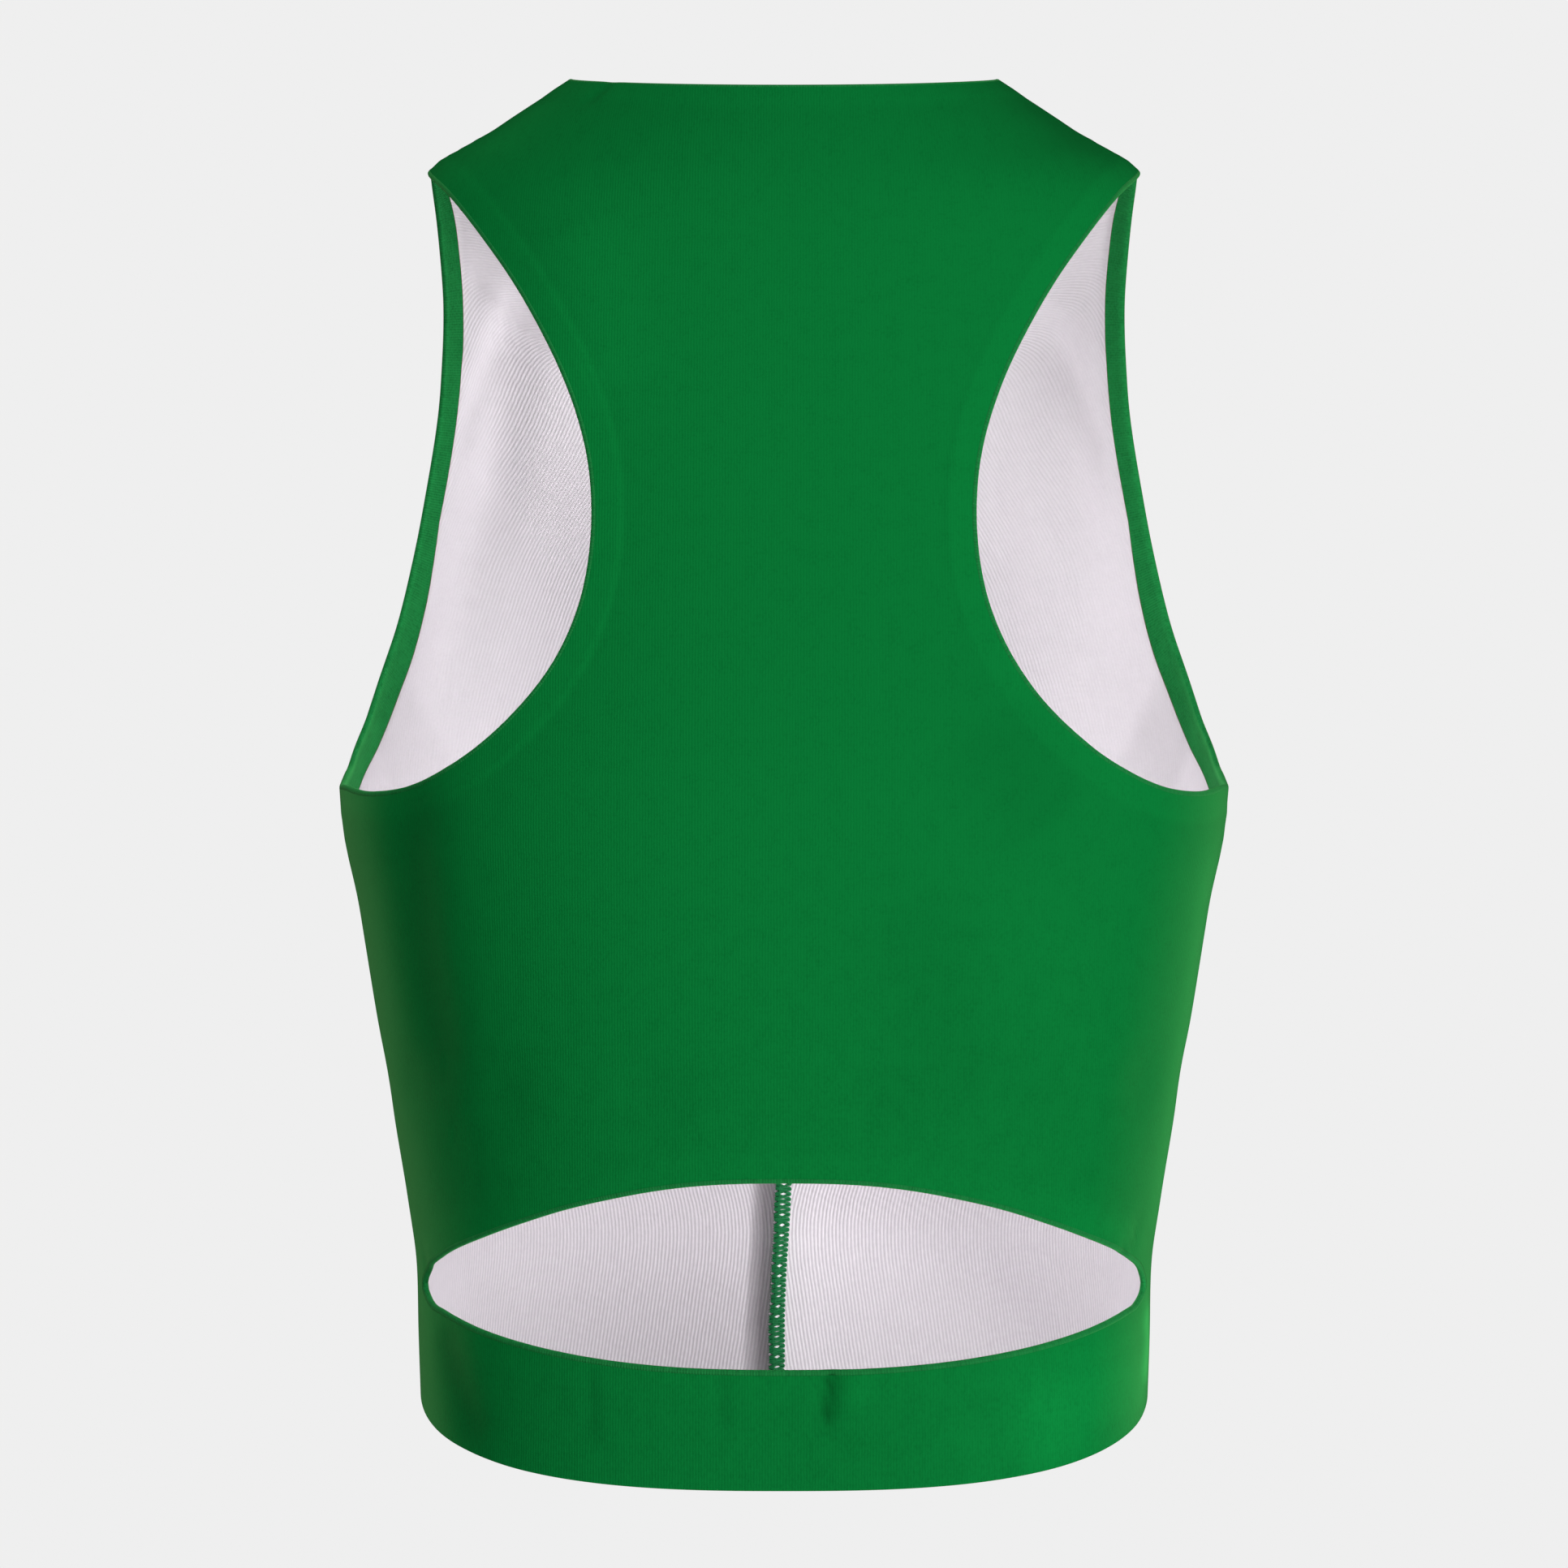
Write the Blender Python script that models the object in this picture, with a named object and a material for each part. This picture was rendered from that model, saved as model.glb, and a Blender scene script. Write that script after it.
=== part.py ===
"""Cropped tank top in its worn shape: a racer back with an oval cut-out, and a front seamed down its middle.

Frame: metres, +Z up. The wearer faces -Y and +X is the wearer's left. The origin is midway between the
two points where the shoulder seams reach the neckline, which is where the garment hangs from the wearer.

The outer face of the cloth lies on one form, a stack of closed rings from the hem to the neckline. A place
on the form is (turn, level): turn is degrees round from the centre back, 90 at the wearer's left side line
and 180 at the centre front, and level counts the rings from the hem and may lie between two of them. Each
piece is a flat grid given two faces and then laid on the form, its outer face at one depth and its inner
face at another.
"""

import math

import bmesh
import bpy
import numpy as np
from mathutils import Vector
from mathutils.bvhtree import BVHTree

MM = 0.001

# Cloth and sewing
CLOTH = 1.2 * MM
SEAM_GAP = 0.3 * MM
HEM_GAP = 0.5 * MM  # between a panel and the hem turned in under it
HEM_WIDTH = 8.6 * MM
HEM_WIDENING = 4.2 * MM  # of an armhole hem for each level below WIDE_BELOW, towards the underarm
WIDE_BELOW = 7.0
RIDGE_HEIGHT = 5.5 * MM  # of the overlocked allowances inside the centre front
RIDGE_THICKNESS = 2.8 * MM
RIDGE_LEAN = 32.0  # degrees that they lean over, near the hem

# The form, a row for each ring from the hem up. Heights and sizes are in millimetres. A ring's side, back
# and front heights differ where it tilts, and its squareness is 2 for an ellipse and more for a boxier one.
RINGS = (
    # name, side_z, back_z, front_z, half_width, back_depth, front_depth, squareness
    ("hem", -450.5, -468.0, -484.0, 125.2, 101.5, 96.0, 2.65),
    ("band", -432.0, -441.0, -452.0, 126.3, 102.0, 96.0, 2.50),
    ("waist", -413.0, -413.0, -420.0, 127.2, 102.5, 96.5, 2.35),
    ("ribs", -389.0, -388.0, -392.0, 130.6, 103.5, 99.0, 2.30),
    ("under_bust", -343.0, -341.0, -343.0, 138.5, 106.0, 104.0, 2.30),
    ("bust", -292.0, -290.0, -292.0, 146.8, 109.0, 110.0, 2.30),
    ("underarm", -249.5, -248.0, -250.0, 153.6, 110.0, 112.0, 2.30),
    ("blade", -163.0, -163.0, -178.0, 149.0, 98.0, 104.0, 2.30),
    ("chest", -95.0, -108.0, -133.0, 138.0, 91.0, 93.0, 2.30),
    ("shoulder", -33.0, -62.0, -104.0, 124.6, 82.0, 82.0, 2.30),
    ("yoke", -16.5, -39.0, -86.0, 99.5, 73.0, 76.0, 2.20),
    ("neck", 0.0, -18.8, -70.0, 74.2, 62.0, 70.0, 2.10),
)
BACK_EASE = 1.05  # how softly a tilted ring leaves the side line, 1 being a straight tilt
FRONT_EASE = 1.25
BESIDE = 0.016  # how far along an edge, as a share, a hem looks to either side for the panel over it
CURVE_STEPS = 16  # in each stretch of an edge between two of its places
SIDE, FRONT = 90.0, 180.0  # turns of the side line and of the centre front
UNDERARM, SHOULDER, NECK = 6.11, 9.0, 11.0  # levels

# Edges on the form. An armhole starts at the underarm, runs up the back and comes down the front.
ARMHOLE = (
    # degrees behind the side line, level
    (0.0, 6.11),
    (5.0, 6.045),
    (18.0, 6.015),
    (30.0, 5.975),
    (38.0, 5.992),
    (49.2, 6.11),
    (59.0, 6.30),
    (65.5, 6.51),
    (69.1, 6.93),
    (67.6, 7.35),
    (61.4, 7.90),
    (48.1, 8.49),
    (26.0, 8.94),
    (0.0, 9.00),
    (-9.5, 8.91),
    (-18.1, 8.66),
    (-23.7, 8.14),
    (-25.3, 7.55),
    (-24.6, 7.15),
    (-21.2, 6.78),
    (-14.9, 6.50),
    (-10.5, 6.35),
    (-4.4, 6.21),
)
# The left half of the cut-out, from its top at the centre back round to its bottom.
CUT_OUT = (
    # turn, level
    (0.0, 3.39),
    (18.7, 3.29),
    (32.5, 3.10),
    (44.4, 2.85),
    (59.8, 2.42),
    (68.8, 2.06),
    (70.8, 1.90),
    (65.8, 1.71),
    (60.5, 1.68),
    (42.2, 1.555),
    (28.7, 1.47),
    (0.0, 1.38),
)
SHOULDER_TIP = ARMHOLE.index((0.0, 9.00))
CUT_OUT_END = CUT_OUT.index((70.8, 1.90))
CUT_OUT_END_EDGE = 3.6 * MM  # the upright edge at each end, between the rows above and below

# How the flat grids are divided
HOLE_COLUMNS = 11  # of the back, from the centre to an end of the cut-out
END_COLUMNS = 4  # of the back, from there to the side line
FRONT_COLUMNS = 12
BAND_ROWS = 4
BODY_ROWS = 8
ARMHOLE_ROWS = 16
SHOULDER_ROWS = 4
FLAT_WIDTH = 2.0 * MM  # of the flat pattern, for a degree of turn
EVENING_PASSES = 400

GREEN = (0.006, 0.165, 0.030, 1.0)
HEM_GREEN = (0.010, 0.150, 0.034, 1.0)
THREAD_GREEN = (0.045, 0.280, 0.110, 1.0)


def even_slopes(rows):
    """For each row, the slope of a curve through all rows that never swings past one of them."""
    steps = np.diff(rows, axis=0)
    before, after = steps[:-1], steps[1:]
    agree = before * after > 0
    total = np.where(agree, before + after, 1.0)
    inner = np.where(agree, 2 * before * after / total, 0.0)
    return np.vstack([steps[:1], inner, steps[-1:]])


RING_SIZES = np.array([ring[1:] for ring in RINGS]) * ([MM] * 6 + [1.0])
RING_SLOPES = even_slopes(RING_SIZES)


def ring_at(level):
    """The seven sizes of the ring at a level, read smoothly between the rows of RINGS."""
    low = min(max(int(level), 0), len(RINGS) - 2)
    s = level - low
    rise = s * s * (3 - 2 * s)
    return (
        RING_SIZES[low] * (1 - rise)
        + RING_SIZES[low + 1] * rise
        + RING_SLOPES[low] * (s * (1 - s) ** 2)
        - RING_SLOPES[low + 1] * (s * s * (1 - s))
    )


def form(turn, level):
    """The point of the form at a turn in degrees and a level."""
    side_z, back_z, front_z, half_width, back_depth, front_depth, squareness = ring_at(level)
    sine, cosine = math.sin(math.radians(turn)), math.cos(math.radians(turn))
    across = math.copysign(abs(sine) ** (2 / squareness), sine)
    out = abs(cosine) ** (2 / squareness)
    if cosine > 0:
        z = side_z + (back_z - side_z) * out**BACK_EASE
        return Vector((half_width * across, back_depth * out, z))
    z = side_z + (front_z - side_z) * out**FRONT_EASE
    return Vector((half_width * across, -front_depth * out, z))


def slopes_at(turn, level):
    """How the form's point moves with a degree of turn, and with one level."""
    by_turn = (form(turn + 0.2, level) - form(turn - 0.2, level)) / 0.4
    by_level = (form(turn, level + 0.02) - form(turn, level - 0.02)) / 0.04
    return by_turn, by_level


def outward(turn, level):
    by_turn, by_level = slopes_at(turn, level)
    return by_level.cross(by_turn).normalized()


def laid(turn, level, depth):
    """A point of the cloth: this far inside the form's face."""
    return form(turn, level) - outward(turn, level) * depth


def middle_slope(three, spans):
    """The slope at the middle one of three places, the nearer neighbour counting for more."""
    before, here, after = three
    first, second = spans
    return ((here - before) / first * second + (after - here) / second * first) / (first + second)


class Edge:
    """A closed smooth edge through places on the form, read by its share of the way round.

    round_turn is the turn that one way round adds up to: 360 round the wearer, and 0 round a hole.
    """

    def __init__(self, places, round_turn=0):
        places = np.array(places, float)
        lap = np.array([round_turn, 0.0])
        places = np.array([places[-1] - lap, *places, places[0] + lap, places[1] + lap])
        spans = [(form(*b) - form(*a)).length for a, b in zip(places, places[1:])]
        dense = []
        for i in range(1, len(places) - 2):
            leave = middle_slope(places[i - 1 : i + 2], spans[i - 1 : i + 1])
            arrive = middle_slope(places[i : i + 3], spans[i : i + 2])
            for s in np.arange(CURVE_STEPS) / CURVE_STEPS:
                rise = s * s * (3 - 2 * s)
                bend = leave * (s * (1 - s) ** 2) - arrive * (s * s * (1 - s))
                dense.append(places[i] * (1 - rise) + places[i + 1] * rise + bend * spans[i])
        dense.append(dense[0] + lap)
        self.places = np.array(dense)
        steps = [(form(*b) - form(*a)).length for a, b in zip(dense, dense[1:])]
        self.length = sum(steps)
        self.shares = np.concatenate([[0.0], np.cumsum(steps)]) / self.length

    def share_of(self, number):
        """How far round the edge its place of this number lies."""
        return float(self.shares[number * CURVE_STEPS])

    def at(self, share):
        share %= 1.0
        turn = np.interp(share, self.shares, self.places[:, 0])
        level = np.interp(share, self.shares, self.places[:, 1])
        return float(turn), float(level)

    def across(self, share, width):
        """The place this far from the edge over the cloth, square to the edge and away from the hole."""
        ahead, behind = form(*self.at(share + 0.004)), form(*self.at(share - 0.004))
        along = (ahead - behind).normalized()
        turn, level = self.at(share)
        steps = 6
        for _ in range(steps):
            by_turn, by_level = slopes_at(turn, level)
            normal = by_level.cross(by_turn).normalized()
            square = along.cross(normal).normalized() * (width / steps)
            step = np.linalg.lstsq(np.array([by_turn, by_level]).T, np.array(square), rcond=None)[0]
            turn, level = turn + float(step[0]), level + float(step[1])
        return turn, level


def armhole_edge():
    return Edge([(SIDE - behind, level) for behind, level in ARMHOLE])


def cut_out_edge():
    right_half = [(-turn, level) for turn, level in CUT_OUT[-2:0:-1]]
    return Edge([*CUT_OUT, *right_half])


def neck_edge():
    return Edge([(-turn, NECK) for turn in range(0, 360, 15)], round_turn=-360)


def armhole_shares(armhole, underarm, steps):
    """Even steps along an armhole from the underarm, which is share 0 for the back and 1 for the front."""
    return np.linspace(underarm, armhole.share_of(SHOULDER_TIP), steps + 1)


def cut_out_shares(cut_out):
    """The back's points on the upper and lower edge of the cut-out, from the centre to an end of it."""
    end = cut_out.share_of(CUT_OUT_END)
    step = CUT_OUT_END_EDGE / 2 / cut_out.length
    out = 1 - (1 - np.arange(HOLE_COLUMNS + 1) / HOLE_COLUMNS) ** 1.5
    return (end - step) * out, 0.5 - (0.5 - end - step) * out


def both_halves(half):
    """Shares all the way round an edge, from those of its first half with both its ends."""
    return [*half, *(1 - share for share in half[-2:0:-1])]


def material(name, colour, roughness):
    made = bpy.data.materials.new(name)
    made.use_nodes = True
    surface = made.node_tree.nodes["Principled BSDF"]
    surface.inputs["Base Color"].default_value = colour
    surface.inputs["Roughness"].default_value = roughness
    surface.inputs["Metallic"].default_value = 0.0
    return made


def flat_grid(columns, rows):
    """A flat grid whose points lie at their own column and row."""
    bm = bmesh.new()
    bmesh.ops.create_grid(bm, x_segments=columns, y_segments=rows, size=1.0)
    for vertex in bm.verts:
        vertex.co.x = round((vertex.co.x + 1) * columns / 2)
        vertex.co.y = round((vertex.co.y + 1) * rows / 2)
    return bm


def add_inner_face(bm):
    """Copy the flat grid one unit up, as the inside of the cloth, with walls along every edge."""
    copied = bmesh.ops.extrude_face_region(bm, geom=bm.faces[:])["geom"]
    inner = [item for item in copied if isinstance(item, bmesh.types.BMVert)]
    bmesh.ops.translate(bm, vec=(0, 0, 1), verts=inner)


def finish_piece(bm, name, finish):
    bmesh.ops.recalc_face_normals(bm, faces=bm.faces[:])
    if bm.calc_volume(signed=True) < 0:
        bmesh.ops.reverse_faces(bm, faces=bm.faces[:])
    mesh = bpy.data.meshes.new(name)
    bm.to_mesh(mesh)
    bm.free()
    mesh.materials.append(finish)
    mesh.shade_smooth()
    mesh.set_sharp_from_angle(angle=math.radians(50))
    piece = bpy.data.objects.new(name, mesh)
    bpy.data.collections["tank_top"].objects.link(piece)
    return piece


def evened(points):
    """Spread the inner points of one block of a flat grid, its edges kept.

    Each pass moves a point to where the grid's lines run evenly and cross squarely. The weights come from
    the spacing of the lines, so the block never folds over an edge that curves into it.
    """
    for _ in range(EVENING_PASSES):
        by_column = (points[1:-1, 2:] - points[1:-1, :-2]) / 2
        by_row = (points[2:, 1:-1] - points[:-2, 1:-1]) / 2
        twist = points[2:, 2:] - points[2:, :-2] - points[:-2, 2:] + points[:-2, :-2]
        along = np.sum(by_row**2, axis=2, keepdims=True)
        up = np.sum(by_column**2, axis=2, keepdims=True)
        skew = np.sum(by_column * by_row, axis=2, keepdims=True)
        beside = points[1:-1, 2:] + points[1:-1, :-2]
        stacked = points[2:, 1:-1] + points[:-2, 1:-1]
        evened_out = (along * beside + up * stacked - skew * twist / 2) / (2 * (along + up))
        points[1:-1, 1:-1] += 0.8 * (evened_out - points[1:-1, 1:-1])
    return points


def panel(name, columns, rows, place, centre_z, shift, finish, hole_row=None, hole_columns=()):
    """A panel cut flat and laid on the form.

    place(column, row) is the turn and level of the grid's edges and a first guess inside them. The flat
    pattern is as wide as its turn and as high as its centre line, centre_z at each ring. A cut-out takes
    hole_columns out of hole_row, and the rows below and above that row are evened as two blocks.
    """
    levels = np.arange(len(RINGS))
    flat = np.array([[place(column, row) for column in range(columns + 1)] for row in range(rows + 1)])
    flat[..., 0] *= FLAT_WIDTH
    flat[..., 1] = np.interp(flat[..., 1], levels, centre_z)
    first = 0
    if hole_row is not None:
        first = hole_row + 1
        flat[:first] = evened(flat[:first])
    flat[first:] = evened(flat[first:])
    bm = flat_grid(columns, rows)
    cells = [(cell, cell.calc_center_median()) for cell in bm.faces]
    gone = [cell for cell, middle in cells if int(middle.y) == hole_row and int(middle.x) in hole_columns]
    bmesh.ops.delete(bm, geom=gone, context="FACES")
    add_inner_face(bm)
    for vertex in bm.verts:
        across, height = flat[round(vertex.co.y), round(vertex.co.x)]
        level = float(np.interp(height, centre_z, levels))
        vertex.co = laid(across / FLAT_WIDTH, level, CLOTH * vertex.co.z) + Vector(shift)
    bmesh.ops.triangulate(bm, faces=bm.faces[:], quad_method="SHORT_EDGE")
    return finish_piece(bm, name, finish)


def band(name, columns, rows, place, finish, joined=False):
    """A narrow piece laid by place(column, row, face), its ends welded to each other if it is joined."""
    bm = flat_grid(columns, rows)
    add_inner_face(bm)
    if joined:
        middles = [(wall, wall.calc_center_median().x) for wall in bm.faces]
        ends = [wall for wall, middle in middles if abs(middle - columns / 2) > (columns - 0.5) / 2]
        bmesh.ops.delete(bm, geom=ends, context="FACES_ONLY")
    for vertex in bm.verts:
        vertex.co = place(round(vertex.co.x), round(vertex.co.y), round(vertex.co.z))
    if joined:
        bmesh.ops.remove_doubles(bm, verts=bm.verts[:], dist=1e-6)
    return finish_piece(bm, name, finish)


def back_panel(finish):
    """One piece from hem to neckline, with the oval cut-out above the band.

    Below the cut-out the columns follow its lower edge, and above it they follow the upper edge.
    """
    cut_out, armhole = cut_out_edge(), armhole_edge()
    upper_shares, lower_shares = cut_out_shares(cut_out)
    back_shares = armhole_shares(armhole, 0, ARMHOLE_ROWS)
    half = HOLE_COLUMNS + END_COLUMNS
    armhole_row = BAND_ROWS + 1 + BODY_ROWS
    shoulder_row = armhole_row + ARMHOLE_ROWS
    rows = shoulder_row + SHOULDER_ROWS

    def hole_place(column, shares):
        """The edge of the cut-out at a column, or the line from its end to the side seam."""
        turn, level = cut_out.at(shares[min(column, HOLE_COLUMNS)])
        beyond = max(column - HOLE_COLUMNS, 0) / END_COLUMNS
        return turn + (SIDE - turn) * beyond, level

    def place(column, row):
        side = -1 if column < half else 1
        column = abs(column - half)
        out = column / half
        if row <= BAND_ROWS:
            turn, level = hole_place(column, lower_shares)
            turn += (SIDE * out - turn) * (1 - row / BAND_ROWS)
            return side * turn, level * row / BAND_ROWS
        if row <= armhole_row:
            turn, level = hole_place(column, upper_shares)
            share = (row - BAND_ROWS - 1) / BODY_ROWS
            return side * turn, level + (UNDERARM - level) * share
        if row <= shoulder_row:
            turn, level = armhole.at(back_shares[row - armhole_row])
            return side * turn * out, level
        share = (row - shoulder_row) / SHOULDER_ROWS
        return side * SIDE * out, SHOULDER + (NECK - SHOULDER) * share

    shift = (0, SEAM_GAP / 2, 0)
    hole = range(END_COLUMNS, END_COLUMNS + 2 * HOLE_COLUMNS)
    return panel("back", 2 * half, rows, place, RING_SIZES[:, 1], shift, finish, BAND_ROWS, hole)


def front_panel(name, side, finish):
    """Half of the front, from its side seam to the seam down the middle."""
    armhole = armhole_edge()
    front_shares = armhole_shares(armhole, 1, ARMHOLE_ROWS)
    armhole_row = BAND_ROWS + BODY_ROWS + 1
    shoulder_row = armhole_row + ARMHOLE_ROWS
    rows = shoulder_row + SHOULDER_ROWS

    def place(column, row):
        out = column / FRONT_COLUMNS
        edge_turn = SIDE
        if row <= armhole_row:
            edge_level = UNDERARM * row / armhole_row
        elif row <= shoulder_row:
            edge_turn, edge_level = armhole.at(front_shares[row - armhole_row])
        else:
            edge_level = SHOULDER + (NECK - SHOULDER) * (row - shoulder_row) / SHOULDER_ROWS
        centre_level = NECK * row / rows
        level = edge_level if out == 1 else centre_level + (edge_level - centre_level) * out**2
        return side * (FRONT + (edge_turn - FRONT) * out), level

    shift = (side * SEAM_GAP / 2, -SEAM_GAP / 2, 0)
    return panel(name, FRONT_COLUMNS, rows, place, RING_SIZES[:, 2], shift, finish)


def inner_faces(panels):
    """The faces of the panels, ready to be searched for the one that a piece under them lies against."""
    points, faces = [], []
    for piece in panels:
        first = len(points)
        points += [vertex.co for vertex in piece.data.vertices]
        faces += [[first + corner for corner in face.vertices] for face in piece.data.polygons]
    return BVHTree.FromPolygons(points, faces)


def turned_hem(name, edge, shares, side, panels, finish, widening=0.0):
    """The cloth turned to the inside along an edge, as a narrow band that follows the panels' inner faces."""

    def place_on_form(share, row):
        width = HEM_WIDTH + widening * max(WIDE_BELOW - edge.at(share)[1], 0)
        turn, level = edge.across(share, width * row)
        return side * turn, level

    def panel_depth(turn, level):
        """How far inside the form the panel's inner face lies."""
        normal = outward(turn, level)
        against = panels.ray_cast(laid(turn, level, HEM_WIDTH), normal, HEM_WIDTH)[0]
        against = against or panels.find_nearest(laid(turn, level, 2 * CLOTH))[0]
        return max(normal.dot(form(turn, level) - against), CLOTH)

    def place(column, row, face):
        share = shares[column % len(shares)]
        beside = [place_on_form(share + step, row) for step in (-BESIDE, 0, BESIDE)]
        depth = max(panel_depth(*spot) for spot in beside) + HEM_GAP
        return laid(*beside[1], depth + CLOTH * face)

    return band(name, len(shares), 1, place, finish, joined=True)


def front_seam(finish):
    """The overlocked seam allowances inside the centre front. They lean to the wearer's left near the hem."""
    segments = 30
    start = 0.06
    stop = neck_edge().across(0.5, HEM_WIDTH + 2 * SEAM_GAP)[1]

    def place(column, row, face):
        level = start + (stop - start) * column / segments
        lean = math.radians(RIDGE_LEAN) * min(max((3.4 - level) / 1.9, 0), 1)
        root = laid(FRONT, level, CLOTH + 1.5 * SEAM_GAP)
        inwards = -outward(FRONT, level)
        height = RIDGE_HEIGHT * row / 2
        sideways = (face - 0.5) * RIDGE_THICKNESS / math.cos(lean) + height * math.sin(lean)
        return root + inwards * (height * math.cos(lean)) + Vector((sideways, 0, 0))

    return band("front_seam", segments, 2, place, finish)


def clear_scene():
    for thing in list(bpy.data.objects):
        bpy.data.objects.remove(thing)


def build():
    clear_scene()
    parts = bpy.data.collections.new("tank_top")
    bpy.context.scene.collection.children.link(parts)
    knit = material("green knit", GREEN, 0.85)
    turned = material("turned hem", HEM_GREEN, 0.9)
    thread = material("overlock thread", THREAD_GREEN, 0.7)
    panels = [back_panel(knit), front_panel("front_left", 1, knit), front_panel("front_right", -1, knit)]
    insides = inner_faces(panels)
    armhole, neck, cut_out = armhole_edge(), neck_edge(), cut_out_edge()
    back_shares = armhole_shares(armhole, 0, 2 * ARMHOLE_ROWS)
    front_shares = armhole_shares(armhole, 1, 2 * ARMHOLE_ROWS)
    round_armhole = [*back_shares, *front_shares[-2:0:-1]]
    upper, lower = cut_out_shares(cut_out)
    turned_hem("armhole_hem_left", armhole, round_armhole, 1, insides, turned, HEM_WIDENING)
    turned_hem("armhole_hem_right", armhole, round_armhole, -1, insides, turned, HEM_WIDENING)
    turned_hem("neck_hem", neck, both_halves(np.linspace(0, 0.5, 21)), 1, insides, turned)
    turned_hem("cut_out_hem", cut_out, both_halves([*upper, *lower[::-1]]), 1, insides, turned)
    front_seam(thread)


build()
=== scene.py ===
"""A cropped green tank top, empty but standing in its wearer's shape, seen from behind.

Frame: metres, +Z up. The wearer faces -Y and +X is the wearer's left. A place on the garment is (turn,
level): degrees round from the centre back, and the number of the form's ring, counted from the hem.
"""

import math

import bmesh
import bpy
import numpy as np
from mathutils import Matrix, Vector


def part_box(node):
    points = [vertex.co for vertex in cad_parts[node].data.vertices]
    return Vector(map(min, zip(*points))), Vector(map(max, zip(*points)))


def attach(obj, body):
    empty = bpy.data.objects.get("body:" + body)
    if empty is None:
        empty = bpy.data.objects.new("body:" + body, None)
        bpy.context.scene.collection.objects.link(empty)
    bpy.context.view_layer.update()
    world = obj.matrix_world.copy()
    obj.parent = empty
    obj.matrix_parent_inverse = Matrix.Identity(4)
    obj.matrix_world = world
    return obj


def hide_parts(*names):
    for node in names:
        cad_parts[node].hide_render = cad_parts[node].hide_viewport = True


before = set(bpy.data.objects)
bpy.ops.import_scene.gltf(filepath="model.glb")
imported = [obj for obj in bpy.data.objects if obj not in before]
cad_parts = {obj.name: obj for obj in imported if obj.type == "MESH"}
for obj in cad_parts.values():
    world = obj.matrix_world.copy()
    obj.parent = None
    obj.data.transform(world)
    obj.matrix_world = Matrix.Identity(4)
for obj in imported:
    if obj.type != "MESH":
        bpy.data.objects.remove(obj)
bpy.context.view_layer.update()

# ------------------------------------------------------------
# The back. One piece of double-faced knit, green outside and off-white inside, cut with a racer back
# and an oval cut-out above its band. The cloth lies on the wearer's form, which is a stack of rings.
# ------------------------------------------------------------
low_corner, high_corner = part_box("back")
MM = (high_corner.z - low_corner.z) / 468.0  # the back is 468 mm long
CLOTH = 0.9 * MM
SEAM_GAP = 0.06 * MM  # between two pieces at a seam
SEAM_DIP = 0.45 * MM  # how far a seam draws the cloth in
SIDE, FRONT = 90.0, 180.0  # turns of the side line and of the middle of the front
NECK = 11.0  # the level of the neckline
BACK_EASE, FRONT_EASE = 1.05, 1.25  # how softly a tilted ring leaves the side line
RINGS = (
    # side_z, back_z, front_z, half_width, back_depth, front_depth in mm, squareness
    (-450.5, -468.0, -484.0, 125.2, 101.5, 96.0, 2.65),
    (-432.0, -441.0, -452.0, 126.3, 102.0, 96.0, 2.50),
    (-413.0, -413.0, -420.0, 127.2, 102.5, 96.5, 2.35),
    (-389.0, -388.0, -392.0, 130.6, 103.5, 99.0, 2.30),
    (-343.0, -341.0, -343.0, 138.5, 106.0, 104.0, 2.30),
    (-292.0, -290.0, -292.0, 146.8, 109.0, 110.0, 2.30),
    (-249.5, -248.0, -250.0, 153.6, 110.0, 112.0, 2.30),
    (-163.0, -163.0, -178.0, 149.0, 98.0, 104.0, 2.30),
    (-95.0, -108.0, -133.0, 138.0, 91.0, 93.0, 2.30),
    (-33.0, -62.0, -104.0, 124.6, 82.0, 82.0, 2.30),
    (-16.5, -39.0, -86.0, 99.5, 73.0, 76.0, 2.20),
    (0.0, -18.8, -70.0, 74.2, 62.0, 70.0, 2.10),
)
ARMHOLE = (
    # degrees behind the side line, level: up the back from the underarm, then down the front
    *((0.0, 6.11), (5.0, 6.045), (18.0, 6.015), (30.0, 5.975), (38.0, 5.992), (49.2, 6.11)),
    *((59.0, 6.30), (65.5, 6.51), (69.1, 6.93), (67.6, 7.35), (61.4, 7.90), (48.1, 8.49)),
    *((26.0, 8.94), (0.0, 9.00), (-9.5, 8.91), (-18.1, 8.66), (-23.7, 8.14), (-25.3, 7.55)),
    *((-24.6, 7.15), (-21.2, 6.78), (-14.9, 6.50), (-10.5, 6.35), (-4.4, 6.21)),
)
CUT_OUT = (
    # turn, level: the left half, from the top at the centre back round to the bottom
    *((0.0, 3.39), (18.7, 3.29), (32.5, 3.10), (44.4, 2.85), (59.8, 2.42), (68.8, 2.06)),
    *((70.8, 1.90), (65.8, 1.71), (60.5, 1.68), (42.2, 1.555), (28.7, 1.47), (0.0, 1.38)),
)
SHOULDER_TIP = ARMHOLE.index((0.0, 9.00))
CUT_OUT_END = CUT_OUT.index((70.8, 1.90))
CUT_OUT_END_EDGE = 3.6 * MM
CURVE_STEPS = 24
INSET_STEPS = 6  # short steps that carry a place over the curved form, away from an edge
HEM_WIDTH = 8.6 * MM
HEM_START = 1.65 * MM  # from the opening back to where a hem leaves the panel's outer face
HOLE_COLUMNS, END_COLUMNS, FRONT_COLUMNS = 20, 5, 14
BAND_ROWS, BODY_ROWS, ARMHOLE_ROWS, SHOULDER_ROWS = 5, 10, 18, 5
FINENESS = (1, 2, 4)  # the grid is evened coarsely first, then twice as fine, then again
EVENING_PASSES = (300, 60, 20)
EVENING_SHARE = 0.8  # of the way to its even place, for a point in one pass
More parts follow.
